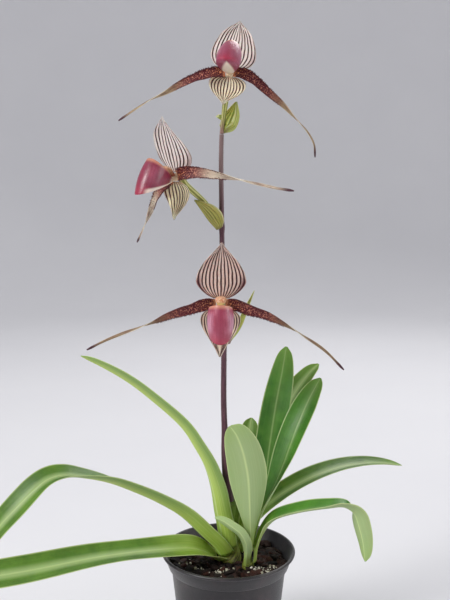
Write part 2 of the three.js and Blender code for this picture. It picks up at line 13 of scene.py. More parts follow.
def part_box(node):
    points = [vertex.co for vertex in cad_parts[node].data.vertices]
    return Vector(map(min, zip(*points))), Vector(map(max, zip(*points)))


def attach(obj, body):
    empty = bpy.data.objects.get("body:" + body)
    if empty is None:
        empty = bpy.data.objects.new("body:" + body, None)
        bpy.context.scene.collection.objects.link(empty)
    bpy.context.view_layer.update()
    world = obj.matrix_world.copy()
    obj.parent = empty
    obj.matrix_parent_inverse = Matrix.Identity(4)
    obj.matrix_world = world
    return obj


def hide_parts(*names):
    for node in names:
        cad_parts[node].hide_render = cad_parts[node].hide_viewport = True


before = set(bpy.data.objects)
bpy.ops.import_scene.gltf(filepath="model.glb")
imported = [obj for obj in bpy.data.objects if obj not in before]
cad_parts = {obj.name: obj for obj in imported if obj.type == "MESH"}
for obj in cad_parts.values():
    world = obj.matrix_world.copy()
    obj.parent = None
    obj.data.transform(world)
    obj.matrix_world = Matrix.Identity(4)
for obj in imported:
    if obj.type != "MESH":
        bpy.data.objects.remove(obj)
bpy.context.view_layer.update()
MM = 0.001


# The pot is one shell of black plastic, moulded in one shot: a tapered body, a flared collar that
# the next pot in a stack rests on, a rolled rim, and a ring of drainage slots in its floor.

POT_LOW, POT_HIGH = (np.array(corner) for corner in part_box("pot"))
POT_HEIGHT = POT_HIGH[2]
POT_RIM = (POT_HIGH[0] - POT_LOW[0]) / 2
POT_COLLAR = POT_RIM - 1.4 * MM
POT_SHOULDER = POT_RIM - 10 * MM
POT_SHOULDER_HEIGHT = POT_HEIGHT - 18 * MM
POT_BASE = 48.5 * MM
POT_WALL = 1.6 * MM
POT_FLOOR = 2.6 * MM
POT_BODY_HEIGHTS = (2, 6, 12, 30, 50, 70, 90, 106)
DRAIN_SLOTS = 8
DRAIN_RING = 33 * MM
DRAIN_SIZE = (13 * MM, 5 * MM)
AROUND_POT = 160


def colour(hex_code):
    """A colour as the eye names it, in the numbers that a shader takes."""
    parts = [int(hex_code[i:i + 2], 16) / 255 for i in (1, 3, 5)]
    return tuple(((c + 0.055) / 1.055) ** 2.4 if c > 0.04 else c / 12.92 for c in parts) + (1,)


class Finish:
    """A material in the making. Every step gives back a socket for the next one, and takes sockets,
    numbers and hex colours."""

    def __init__(self, name, shine, rough=0.5, soft=None, **constants):
        """shine is its specular level. soft is how much light goes into it, and how many metres."""
        self.material = bpy.data.materials.new(name)
        self.material.use_nodes = True
        self.tree = self.material.node_tree
        self.shader = self.tree.nodes["Principled BSDF"]
        constants |= {"Specular_IOR_Level": shine, "Roughness": rough}
        if soft:
            constants |= {"Subsurface_Weight": soft[0], "Subsurface_Scale": soft[1]}
        for words, value in constants.items():
            self.shader.inputs[words.replace("_", " ")].default_value = value

    def step(self, kind, inputs, **settings):
        node = self.tree.nodes.new("ShaderNode" + kind)
        for setting, value in settings.items():
            setattr(node, setting, value)
        for socket, value in inputs.items():
            self.feed(node.inputs[socket], value)
        return node

    def feed(self, socket, value):
        if isinstance(value, bpy.types.NodeSocket):
            self.tree.links.new(value, socket)
        else:
            socket.default_value = colour(value) if isinstance(value, str) else value

    def read(self, attribute):
        """The three numbers that a mesh keeps under this name, each on its own socket."""
        kept = self.step("Attribute", {}, attribute_name=attribute)
        return self.step("SeparateXYZ", {0: kept.outputs["Vector"]}).outputs

    def object_place(self):
        return self.step("TexCoord", {}).outputs["Object"]

    def place(self, x, y, z=0.0):
        return self.step("CombineXYZ", {0: x, 1: y, 2: z}).outputs[0]

    def work(self, operation, *values):
        return self.step("Math", dict(enumerate(values)), operation=operation).outputs[0]

    def times(self, product, *values):
        for value in values:
            product = self.work("MULTIPLY", product, value)
        return product

    def plus(self, first, second):
        return self.work("ADD", first, second)

    def rise(self, value, low, high):
        """0 below low, 1 above high, and a smooth step between. It falls where low is over high."""
        ends = {"Value": value, "From Min": min(low, high), "From Max": max(low, high)}
        ends |= {"To Min": float(low > high), "To Max": float(low < high)}
        return self.step("MapRange", ends, interpolation_type="SMOOTHSTEP").outputs[0]

    def cloud(self, where, scale, detail=3.0, rough=0.5):
        settings = {"Vector": where, "Scale": scale, "Detail": detail, "Roughness": rough}
        return self.step("TexNoise", settings).outputs[0]

    def streaks(self, along, across, third=0.0, detail=3.0, rough=0.5):
        """A cloud drawn out in one direction. along and across are pairs of a value and its scale."""
        return self.cloud(self.place(self.times(*along), self.times(*across), third), 1.0, detail, rough)

    def cells(self, where, scale, feature="F1"):
        return self.step("TexVoronoi", {"Vector": where, "Scale": scale}, feature=feature).outputs["Distance"]

    def blend(self, share, first, second):
        inputs = {0: share, 6: first, 7: second}
        return self.step("Mix", inputs, data_type="RGBA", clamp_factor=True).outputs[2]

    def layers(self, ground, *layers):
        """A ground with layers of (shade, value, low, high, most) over it. Each shows more and more as
        its value goes from low to high, up to most or fully. A layer of (shade, share) is blended in."""
        for shade, share, *rise in layers:
            if rise:
                share = self.times(self.rise(share, *rise[:2]), *rise[2:])
            ground = self.blend(share, ground, shade)
        return ground

    def paint(self, value):
        self.feed(self.shader.inputs["Base Color"], value)

    def gloss(self, rough):
        self.feed(self.shader.inputs["Roughness"], rough)

    def relief(self, height, depth):
        bump = self.step("Bump", {"Height": height, "Distance": depth})
        self.feed(self.shader.inputs["Normal"], bump.outputs[0])


def make_object(name, points, faces, material, smooth=True, **kept):
    """An object from points and faces. kept are the numbers that its material reads at each point."""
    mesh = bpy.data.meshes.new(name)
    mesh.from_pydata(np.asarray(points).tolist(), [], [tuple(map(int, face)) for face in faces])
    mesh.validate()
    for attribute, values in kept.items():
        layer = mesh.attributes.new(attribute, "FLOAT_VECTOR", "POINT")
        layer.data.foreach_set("vector", np.asarray(values, dtype=np.float32).ravel())
    mesh.polygons.foreach_set("use_smooth", [smooth] * len(mesh.polygons))
    mesh.materials.append(material)
    made = bpy.data.objects.new(name, mesh)
    bpy.context.scene.collection.objects.link(made)
    return made


def make_piece(name, points, faces, material, slot, nodes=(), smooth=True, **kept):
    """A piece of the plant or its pot. It rides on the only body, and stands for these nodes if any."""
    piece = make_object(name, points, faces, material, smooth, **kept)
    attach(piece, "root")
    if nodes:
        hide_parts(*nodes)
    return piece


def turned(outline, around):
    """Points and faces of an outline of (radius, height) turned about the Z axis. An end on the
    axis closes as a fan."""
    angles = 2 * np.pi * np.arange(around) / around
    rings = [[(r * np.cos(a), r * np.sin(a), z) for a in angles] if r > 0 else [(0, 0, z)]
             for r, z in outline]
    starts = np.cumsum([0] + [len(ring) for ring in rings])
    faces = []
    for i in range(len(rings) - 1):
        for k in range(around):
            a, b = (starts[i] + j % len(rings[i]) for j in (k, k + 1))
            c, d = (starts[i + 1] + j % len(rings[i + 1]) for j in (k + 1, k))
            faces.append([p for n, p in enumerate((a, b, c, d)) if p not in (a, b, c, d)[:n]])
    return np.array([p for ring in rings for p in ring]), faces


def pot_plastic():
    """Black plastic with faint turning rings, fine grain and patches of dust."""
    plastic = Finish("pot_plastic", 0.6, Sheen_Weight=0.3, Sheen_Roughness=0.35)
    where = plastic.object_place()
    height = plastic.step("SeparateXYZ", {0: where}).outputs[2]
    grain = plastic.cloud(where, 900.0, 4.0, 0.6)
    dust = plastic.cloud(where, 26.0, 5.0, 0.65)
    rings = plastic.work("SINE", plastic.times(height, 5200.0))
    plastic.paint(plastic.layers("#181418", ("#5a4848", dust, 0.42, 0.75, 0.5)))
    plastic.gloss(plastic.plus(plastic.times(grain, 0.25), 0.3))
    plastic.relief(plastic.plus(grain, plastic.times(rings, 0.25)), 0.00012)
    return plastic.material


def roll(centre, radius, start, end, steps=7):
    """Points of an arc of an outline, from angle start to angle end."""
    angles = np.radians(np.linspace(start, end, steps))
    return [(centre[0] + radius * math.cos(a), centre[1] + radius * math.sin(a)) for a in angles]


def make_pot():
    step = (POT_SHOULDER - POT_BASE) / (POT_SHOULDER_HEIGHT - 2 * MM)
    body = [(POT_BASE + step * (z - 2) * MM, z * MM) for z in POT_BODY_HEIGHTS]
    outline = [(0, 1.4 * MM), (12 * MM, 1.4 * MM), (13.5 * MM, 0), (POT_BASE - 3 * MM, 0)]
    outline += roll((POT_BASE - 2 * MM, 2 * MM), 2 * MM, -80, -8)
    outline += body[1:]
    shoulder = ((0.1, 0), (2.2, 0.8), (3, 1.8))
    outline += [(POT_SHOULDER + r * MM, POT_SHOULDER_HEIGHT + z * MM) for r, z in shoulder]
    outline += [(POT_COLLAR - r * MM, POT_HEIGHT - z * MM) for r, z in ((2, 6), (1.1, 3.6))]
    outline += roll((POT_RIM - 1.7 * MM, POT_HEIGHT - 1.7 * MM), 1.7 * MM, -75, 165, 12)
    outline += [(POT_COLLAR - POT_WALL - 1.4 * MM, POT_HEIGHT - 4 * MM)]
    outline += [(POT_SHOULDER + 0.9 * MM, POT_SHOULDER_HEIGHT + 1.2 * MM)]
    outline += [(POT_SHOULDER - POT_WALL, POT_SHOULDER_HEIGHT - 0.6 * MM)]
    outline += [(r - POT_WALL, z) for r, z in body[::-1][:-1]]
    outline += roll((POT_BASE - POT_WALL - 2.4 * MM, POT_FLOOR + 2.4 * MM), 2.4 * MM, -10, -90)
    outline += [(14 * MM, POT_FLOOR), (12.5 * MM, POT_FLOOR + 1.2 * MM), (0, POT_FLOOR + 1.2 * MM)]
    points, faces = turned(outline, AROUND_POT)
    pot = make_piece("nursery_pot", points, faces, pot_plastic(), "pot", ["pot"])
    knife_mesh = bpy.data.meshes.new("drain_knife")
    cutter = bmesh.new()
    for k in range(DRAIN_SLOTS):
        turn = Matrix.Rotation(2 * math.pi * (k + 0.5) / DRAIN_SLOTS, 4, "Z")
        shape = Matrix.Diagonal((*DRAIN_SIZE, 4 * POT_FLOOR, 1))
        bmesh.ops.create_cube(cutter, size=1, matrix=turn @ Matrix.Translation((DRAIN_RING, 0, 0)) @ shape)
    cutter.to_mesh(knife_mesh)
    cutter.free()
    knife = bpy.data.objects.new("drain_knife", knife_mesh)
    bpy.context.scene.collection.objects.link(knife)
    cut = pot.modifiers.new("slots", "BOOLEAN")
    cut.operation, cut.solver, cut.object = "DIFFERENCE", "EXACT", knife
    cut_mesh = bpy.data.meshes.new_from_object(pot.evaluated_get(bpy.context.evaluated_depsgraph_get()))
    pot.modifiers.clear()
    pot.data = cut_mesh
    bpy.data.objects.remove(knife)
    crease = pot.modifiers.new("edges", "EDGE_SPLIT")
    crease.split_angle = math.radians(50)


make_pot()


# The potting mix is moist bark in chunky chips over finer crumbs, with grains of pale perlite that
# watering has washed up towards the front rim. It fills the pot to a finger's width below the rim,
# and the two growths stand in it.

BARK_LEVEL = 111 * MM
BARK_REACH = POT_SHOULDER - POT_WALL - 0.3 * MM
BARK_CHIPS, CHIP_LENGTHS = 620, (2.4, 6.4)
CRUMBS, CRUMB_LENGTHS = 900, (0.8, 1.9)
FINELY_SHAPED = 2.6 * MM
GOLDEN_ANGLE = 2.39996
GROUND_RINGS = 30
PERLITE_LENGTHS = (0.6, 1.7)
PERLITE_PATCHES = [  # x, y, spread and number of grains
    (-29, -26, 6, 18), (-11, -31, 6, 24), (0, -27, 4, 26), (29, -27, 6, 26), (41, -22, 8, 38),
    (28, 30, 4, 16), (-44, -8, 7, 5), (-10, 42, 10, 14), (-36, 30, 9, 8)]
CROWNS = {
    "flowering": {"foot": (1, 5, 104), "tip": (2.6, 0.8, 176), "widest": 12.5, "slimmest": 7},
    "young": {"foot": (20, -14, 104), "tip": (20.5, -14, 142), "widest": 6.6, "slimmest": 3.2},
}

chance = random.Random(7)


def bark_height(x, y):
    """The height of the mix: low waves, and a slight mound round the plants."""
    waves = 1.1 * np.sin(190 * x + 1.3) * np.cos(160 * y) + 0.8 * np.sin(330 * (x + y))
    waves = waves + 0.5 * np.cos(520 * y - 300 * x)
    return BARK_LEVEL - 1.5 * MM + (waves + 2.0 * np.exp(-(x * x + y * y) / 0.03 ** 2)) * MM


def bark():
    """Dark damp bark. Each chip has its own shade, some are redder, and dry fibres show paler."""
    skin = Finish("bark_mix", 0.35)
    where = skin.object_place()
    brown, red, _ = skin.read("chip")
    fibres = skin.cloud(where, 700.0, 5.0, 0.7)
    damp = skin.rise(skin.cloud(where, 90.0), 0.45, 0.7)
    skin.paint(skin.layers(
        "#0e0b09",
        ("#241a15", brown),
        ("#52291c", skin.times(red, 0.5)),
        ("#4a3a30", fibres, 0.5, 0.85, 0.25)))
    skin.gloss(skin.work("SUBTRACT", 0.98, skin.times(damp, 0.35)))
    skin.relief(fibres, 0.0006)
    return skin.material


def lump(centre, size, turn, jitter, shade):
    """One rough chip: a ball of a few faces, squeezed, knocked about and turned."""
    ball = bmesh.new()
    bmesh.ops.create_icosphere(ball, subdivisions=2 if size[0] > FINELY_SHAPED else 1, radius=1)
    points = np.array([v.co for v in ball.verts])
    faces = [[v.index for v in f.verts] for f in ball.faces]
    ball.free()
    squared = np.sign(points) * np.abs(points) ** 0.7
    knocks = np.array([1 + jitter * chance.uniform(-1, 1) for _ in squared])[:, None]
    spin = Matrix.Rotation(turn[0], 3, "Z") @ Matrix.Rotation(turn[1], 3, "X")
    spin = np.array(spin @ Matrix.Rotation(turn[2], 3, "Y"))
    return (squared * knocks * size) @ spin.T + centre, faces, np.tile(shade, (len(points), 1))


def heap(name, lumps, material, slot, nodes=(), ground=None, smooth=False):
    """Many lumps as one piece, on top of a ground mesh if there is one."""
    points, faces, shades = [list(part) for part in ground] if ground else ([], [], [])
    for some_points, some_faces, some_shades in lumps:
        start = len(points)
        points.extend(some_points)
        faces.extend([[start + i for i in face] for face in some_faces])
        shades.extend(some_shades)
    return make_piece(name, points, faces, material, slot, nodes, smooth, chip=shades)


def in_crown(x, y, margin):
    """Whether one of the growths stands here."""
    for crown in CROWNS.values():
        cx, cy = crown["foot"][0] * MM, crown["foot"][1] * MM
        if math.hypot(x - cx, y - cy) < crown["widest"] * MM + margin:
            return True
    return False


def bark_lumps():
    """The chips, then the crumbs, each from the middle outwards along a spiral."""
    lumps = []
    for k in range(BARK_CHIPS + CRUMBS):
        turn = GOLDEN_ANGLE * k + chance.uniform(-0.4, 0.4)
        reach = (BARK_REACH + 2 * MM) * math.sqrt((k % BARK_CHIPS + chance.random()) / BARK_CHIPS)
        length = chance.uniform(*(CHIP_LENGTHS if k < BARK_CHIPS else CRUMB_LENGTHS)) * MM
        reach = min(reach, BARK_REACH + 3.6 * MM - length)
        x, y = reach * math.cos(turn), reach * math.sin(turn)
        if in_crown(x, y, 0.5 * length):
            continue
        size = np.array([length, length * chance.uniform(0.45, 0.8), length * chance.uniform(0.22, 0.5)])
        spin = (chance.uniform(0, 6.28), chance.gauss(0, 0.4), chance.gauss(0, 0.35))
        shade = (chance.random() ** 1.6, chance.random() ** 3, 0)
        z = bark_height(x, y) + chance.uniform(-0.2, 0.5) * length
        lumps.append(lump(np.array([x, y, z]), size, spin, 0.16, shade))
    return lumps


def bark_ground():
    """The body of the mix under the chips, down to the floor of the pot."""
    top_radii = [BARK_REACH * math.sqrt(k / GROUND_RINGS) for k in range(GROUND_RINGS + 1)]
    floor = POT_FLOOR + 1.5 * MM
    body = [(BARK_REACH - 0.2 * MM, POT_SHOULDER_HEIGHT - 6 * MM), (POT_BASE - 3 * MM, floor), (0, floor)]
    points, faces = turned([(r, 0) for r in top_radii] + body, 96)
    top = points[:, 2] == 0
    points[top, 2] = bark_height(points[top, 0], points[top, 1])
    return points, faces, np.tile((0.15, 0, 0), (len(points), 1))


heap("bark_mix_chips", bark_lumps(), bark(), "bark", ["bark_mix"], bark_ground())


def perlite():
    grit = Finish("perlite", 0.3, 0.9)
    pores = grit.cells(grit.object_place(), 1800.0)
    grit.paint(grit.layers("#a09a82", ("#dad6c6", grit.read("chip")[0]), ("#7d765c", pores, 0.25, 0.05)))
    grit.relief(pores, 0.0003)
    return grit.material


def perlite_grains():
    grains = []
    for x, y, spread, count in PERLITE_PATCHES:
        for _ in range(count):
            px, py = (chance.gauss(c, spread / 2) * MM for c in (x, y))
            if math.hypot(px, py) > BARK_REACH or in_crown(px, py, 1 * MM):
                continue
            length = chance.uniform(*PERLITE_LENGTHS) * MM
            size = np.array([length, length * chance.uniform(0.7, 1), length * chance.uniform(0.6, 0.9)])
            spin = tuple(chance.uniform(0, 6.28) for _ in range(3))
            centre = np.array([px, py, bark_height(px, py) + 2.6 * MM + chance.uniform(-0.6, 1.2) * MM])
            grains.append(lump(centre, size, spin, 0.22, (chance.random(), 0, 0)))
    return grains


heap("perlite_grains", perlite_grains(), perlite(), "bark")


# The growths are fans of leaf bases that clasp each other, pale where they were shaded. The real
# crown has no stem to see: each base wraps the younger ones inside it, down into the bark.

CROWN_LOW, CROWN_SHOULDER = 105, 113
CROWN_TAPER = 0.2
CROWN_LAYERS, LAYER_INSET, LAYER_SLANT = 5, 0.55, 3.2
CROWN_RINGS, AROUND_CROWN = 10, 48


def crown_at(name, z):
    """The middle and radius of a crown at height z, in millimetres."""
    crown = CROWNS[name]
    foot, tip = np.array(crown["foot"], float), np.array(crown["tip"], float)
    share = (z - foot[2]) / (tip[2] - foot[2])
    radius = crown["widest"] - CROWN_TAPER * max(z - CROWN_SHOULDER, 0)
    return foot + (tip - foot) * share, max(radius, crown["slimmest"])


def leaf_base_skin():
    """Ribbed green, yellower towards the bark, with brown torn skin low down."""
    skin = Finish("leaf_bases", 0.4, soft=(0.1, 0.004))
    height, run = skin.read("place")[0], skin.read("run")
    ribs = skin.work("SINE", skin.times(run[1], 9000.0))
    mottle = skin.cloud(skin.object_place(), 160.0, 4.0, 0.6)
    streaks = skin.streaks((run[0], 40.0), (run[1], 420.0), detail=4.0)
    torn = skin.times(skin.rise(streaks, 0.46, 0.6), skin.rise(height, 0.75, 0.3), 0.75)
    skin.paint(skin.layers(
        "#8c9436",
        ("#86a63c", height, 0.25, 1.0),
        ("#5f7a2c", mottle, 0.45, 0.75, 0.35),
        ("#453518", torn),
        ("#3a2c18", height, 0.22, 0.08)))
    skin.relief(ribs, 0.00012)
    return skin.material


def ring_faces(rows, around, start=0):
    """The faces between rings of points that all have as many points."""
    faces = []
    for i in range(rows):
        for k in range(around):
            a, b = start + i * around + k, start + i * around + (k + 1) % around
            faces.append((a, b, b + around, a + around))
    return faces


def make_crown(name, material):
    """Nested cones, each a layer of clasping bases, with the edge of each layer cut in a slant."""
    points, faces, places, runs = [], [], [], []
    for layer in range(CROWN_LAYERS):
        wraps = layer < CROWN_LAYERS - 1
        high = CROWN_SHOULDER + (CROWNS[name]["tip"][2] - CROWN_SHOULDER) * (layer + 1) / CROWN_LAYERS
        start = len(points)
        for i in range(CROWN_RINGS + 1):
            for k in range(AROUND_CROWN):
                angle = 2 * math.pi * k / AROUND_CROWN
                slant = LAYER_SLANT * math.cos(angle + math.pi * layer) if wraps else 0
                z = CROWN_LOW + (high + slant - 3.5 - CROWN_LOW) * i / CROWN_RINGS
                middle, radius = crown_at(name, z)
                reach = radius - LAYER_INSET * layer - (0.8 * (i / CROWN_RINGS) ** 8 if wraps else 0)
                points.append((middle + reach * np.array([math.cos(angle), math.sin(angle), 0])) * MM)
                places.append(((z - CROWN_LOW) / 40, 0, 0))
                runs.append((z * MM, angle * radius * MM, 0))
        faces += ring_faces(CROWN_RINGS, AROUND_CROWN, start)
        for ring, flip in ((start, -1), (start + CROWN_RINGS * AROUND_CROWN, 1)):
            faces.append([ring + k for k in range(AROUND_CROWN)][::flip])
    make_piece(f"growth_{name}_bases", points, faces, material, "crown", [f"crown_{name}"],
               place=places, run=runs)


LEAF_BASE_SKIN = leaf_base_skin()
for growth in CROWNS:
    make_crown(growth, LEAF_BASE_SKIN)


# Each leaf is a thick leathery strap, folded along its midrib and keeled underneath. It grows from
# its crown as a clasping base and opens out on its way to a blunt, slightly notched tip.

# node is the height at which a leaf leaves its crown and clasp the way it faces there, hug how far
# its base goes round and tuck how far out it sits. foot is its width there as a share of width, half
# the blade's. After the neck it is open, curved by wrap and folded by fold. turn is its twist in
# degrees by share of its length, and line runs through its midrib.
LEAF_WORDS = "name crown node clasp hug tuck foot neck width wrap fold turn line".split()
LEAVES = [dict(zip(LEAF_WORDS, leaf)) for leaf in [
    ("left_low", "flowering", 113, -140, 1, 0, 0.85, 80, 17.5, 0.35, 0.16,
     [(0, -8), (0.1, -36), (0.25, -32), (0.4, -27), (0.6, -34), (1, -56)],
     [(-18, -10, 121.5), (-27, -17, 129.5), (-38, -25, 136), (-66, -39, 141), (-126, -61, 143),
      (-187, -83, 140), (-242, -100, 137), (-286, -112, 128)]),
    ("left_middle", "flowering", 119, -130, 1.2, 0, 1.05, 150, 15.5, 0.4, 0.24,
     [(0, 0), (0.25, -6), (0.45, -14), (0.6, -34), (0.75, -64), (1, -80)],
     [(-13.5, -9.5, 131), (-25, -13, 144), (-47, -19, 168), (-72, -27, 187), (-96, -36, 202),
      (-119, -44, 214), (-142, -52, 221.5), (-160, -58, 225), (-176, -63, 221.5), (-204, -73, 197),
      (-222, -77, 177), (-239, -80, 148)]),
    ("left_high", "flowering", 128, -128, 1.45, 0, 0.95, 170, 15, 0.4, 0.26,
     [(0, 0), (0.15, -4), (0.45, -28), (1, -30)],
     [(-7.5, -7.5, 148), (-11, -7.5, 166), (-16, -6.5, 193), (-23.5, -4, 216), (-34, -1, 235),
      (-48, 2, 256), (-82, 7, 286), (-106, 9, 304), (-134, 11, 320), (-153, 12, 329)]),
    ("right_arching", "flowering", 118, 55, 0.95, 0, 0.5, 70, 14.5, 0.45, 0.2,
     [(0, 0), (0.25, -14), (0.6, -24), (1, -28)],
     [(17, 20, 134), (25, 25, 145), (38, 32, 156), (62, 42, 171), (90, 52, 183), (120, 66, 189),
      (150, 80, 190), (177, 92, 187), (202, 102, 181)]),
    ("back_right", "flowering", 128, 34, 0.9, 0, 0.5, 80, 15, 0.5, 0.25,
     [(0, 0), (1, 15)],
     [(18, 13, 145), (25, 19, 162), (36, 29, 192), (50, 40, 231), (70, 54, 274), (88, 65, 297),
      (100, 71, 308)]),
    ("back_short", "flowering", 143, 80, 1.1, 0, 0.5, 60, 14, 0.5, 0.25,
     [(0, 0), (1, 0)],
     [(5.5, 14, 158), (9, 18, 172), (14, 25, 192), (20, 33, 222), (25, 42, 255)]),
    ("small_front", "young", 115, -104, 0.42, 0, 0.3, 30, 5.6, 0.6, 0.2,
     [(0, 0), (0.3, 0), (1, 20)],
     [(18.5, -27, 126), (19, -30, 136), (17, -33, 147), (12, -34, 156), (3, -33, 163), (-6, -30, 168),
      (-14, -27, 170)]),
    ("right_drooping", "young", 118, -7, 0.8, 1, 0.55, 60, 13.5, 0.45, 0.25,
     [(0, 0), (0.14, 10), (0.3, -8), (0.55, -16), (0.68, -30), (0.78, -75), (1, -80)],
     [(29.4, -16.4, 133), (35, -19, 150), (46.5, -27, 168), (71, -36, 180), (98, -46, 188), (114, -51, 191),
      (123, -54, 186), (129, -57, 170), (133, -58, 152), (134, -59, 138)]),
    ("right_upright", "young", 133, 2, 1.1, 0, 0.5, 110, 16, 0.5, 0.25,
     [(0, 0), (0.1, 0), (0.8, 50), (1, 50)],
     [(27, -14, 145), (31.5, -13.5, 163), (40.5, -12, 182), (49, -9, 199), (58, -4, 220), (72, 6, 256),
      (84, 15, 281), (97, 24, 303)]),
    ("back_tall", "young", 127, 76, 0.9, 0, 0.4, 100, 16, 0.45, 0.25,
     [(0, 0), (0.8, 15), (1, 15)],
     [(25, -3, 144), (29, 2, 160), (34, 9, 176), (39, 14, 196), (43, 20, 226), (50, 28, 271), (57, 36, 306),
      (62, 43, 333)]),
    ("front", "young", 123, -88, 0.42, 0, 0.3, 100, 20, 0.45, 0.16,
     [(0, 0), (1, 0)],
     [(22, -24, 140), (22, -26, 160), (21, -31, 190), (19, -37, 218), (13.5, -44, 246), (7, -49, 264),
      (1, -52, 273)]),
]]
LEAF_ROWS, LEAF_COLUMNS = 110, 26


def ease(x):
    k = np.clip(x, 0, 1)
    return k * k * (3 - 2 * k)


def through(pairs, x):
    """A smooth value at x through given pairs of (place, value)."""
    places, values = (np.array(part, float) for part in zip(*pairs))
    last = len(pairs) - 1
    before = np.maximum(np.arange(last + 1) - 1, 0)
    after = np.minimum(np.arange(last + 1) + 1, last)
    slopes = (values[after] - values[before]) / (places[after] - places[before])
    i = np.clip(np.searchsorted(places, x, side="left") - 1, 0, last - 1)
    step = places[i + 1] - places[i]
    k = np.clip((x - places[i]) / step, 0, 1)
    bend = step * k * (1 - k) * ((1 - k) * slopes[i] - k * slopes[i + 1])
    return values[i] + (values[i + 1] - values[i]) * ease(k) + bend


def curve_points(line, steps):
    """Points at equal steps along the smooth centripetal curve through line, and its length."""
    line = np.array(line, float)
    ends = np.vstack([2 * line[0] - line[1], line, 2 * line[-1] - line[-2]])
    dense = []
    k = np.linspace(0, 1, 60, endpoint=False)[:, None]
    for p0, p1, p2, p3 in zip(ends, ends[1:], ends[2:], ends[3:]):
        d0, d1, d2 = (np.linalg.norm(b - a) ** 0.5 for a, b in ((p0, p1), (p1, p2), (p2, p3)))
        m1 = ((p1 - p0) / d0 - (p2 - p0) / (d0 + d1) + (p2 - p1) / d1) * d1
        m2 = ((p2 - p1) / d1 - (p3 - p1) / (d1 + d2) + (p3 - p2) / d2) * d1
        squared, cubed = 3 * (p2 - p1) - 2 * m1 - m2, 2 * (p1 - p2) + m1 + m2
        dense.append(p1 + m1 * k + squared * k ** 2 + cubed * k ** 3)
    dense = np.vstack(dense + [line[-1:]])
    walked = np.concatenate([[0], np.cumsum(np.linalg.norm(np.diff(dense, axis=0), axis=1))])
    where = np.linspace(0, walked[-1], steps + 1)
    return np.stack([np.interp(where, walked, dense[:, i]) for i in range(3)], 1), walked[-1]


def carried(line, facing, places, twist=None):
    """Points, tangents, faces and sides along a line, and its length. The face starts towards facing
    and doesn't turn about the line, except by twist(s) radians. places are shares of the length."""
    steps = 400
    points, length = curve_points(line, steps)
    tangents = np.gradient(points, axis=0)
    tangents /= np.linalg.norm(tangents, axis=1)[:, None]
    faces = np.empty_like(points)
    face = np.array(facing, float)
    for i, tangent in enumerate(tangents):
        face = face - tangent * face.dot(tangent)
        face /= np.linalg.norm(face)
        faces[i] = face
    at = np.asarray(places) * steps
    low = np.clip(at.astype(int), 0, steps - 1)
    k = (at - low)[:, None]
    point, tangent, face = (part[low] * (1 - k) + part[low + 1] * k for part in (points, tangents, faces))
    tangent /= np.linalg.norm(tangent, axis=1)[:, None]
    face -= tangent * (face * tangent).sum(1)[:, None]
    face /= np.linalg.norm(face, axis=1)[:, None]
    side = np.cross(tangent, face)
    if twist is not None:
        angle = twist(np.asarray(places))[:, None]
        face, side = face * np.cos(angle) + side * np.sin(angle), side * np.cos(angle) - face * np.sin(angle)
    return point, tangent, face, side, length


def laid_across(point, side, face, across, lift):
    """A grid of points over a line: across to its side, and lifted towards its face."""
    return point[:, None] + side[:, None] * across[..., None] + face[:, None] * lift[..., None]


def blade(name, middle, thickness, shares, across, length, material, slot, nodes=(), front=1):
    """A thin closed sheet about its middle surface, a grid of points. Its material reads place
    (share of the length, across from -1 to 1, 0 on the front face and 1 on the back) and run
    (distance along and across, in metres). front is the side of the surface that is its face."""
    rows, columns = middle.shape[:2]
    lengthways, sideways = np.gradient(middle, axis=0), np.gradient(middle, axis=1)
    normal = front * np.cross(sideways, lengthways)
    normal /= np.maximum(np.linalg.norm(normal, axis=2, keepdims=True), 1e-12)
    top = middle + normal * thickness[..., None] / 2
    under = middle - normal * thickness[..., None] / 2
    points = np.concatenate([top.reshape(-1, 3), under.reshape(-1, 3)]) * MM
    back = rows * columns
    grid = np.arange(back).reshape(rows, columns)
    a = grid[:-1, :-1].ravel()
    quads = np.stack([a, a + 1, a + columns + 1, a + columns], 1)
    rim = np.concatenate([grid[0], grid[1:, -1], grid[-1, -2::-1], grid[-2:0:-1, 0]])
    after = np.roll(rim, -1)
    edge = np.stack([rim, rim + back, after + back, after], 1)
    faces = np.concatenate([quads, quads[:, ::-1] + back, edge])
    if front < 0:
        faces = faces[:, ::-1]
    spread = np.linalg.norm(sideways, axis=2).cumsum(axis=1)
    spread = (spread - spread[:, columns // 2:columns // 2 + 1]) * MM
    s, t = np.broadcast_arrays(np.asarray(shares)[:, None], across)
    place = np.stack([s, t, np.zeros_like(s)], 2).reshape(-1, 3)
    run = np.stack([s * length * MM, spread, np.zeros_like(s)], 2).reshape(-1, 3)
    place = np.concatenate([place, place + (0, 0, 1)])
    run = np.concatenate([run, run + (0, 0, 0.01)])
    return make_piece(name, points, faces, material, slot, nodes, place=place, run=run)


LEAF_OUTLINE = [(0.3, 0.88), (0.5, 1), (0.68, 0.99), (0.82, 0.88), (0.92, 0.66), (0.97, 0.43), (1, 0.08)]


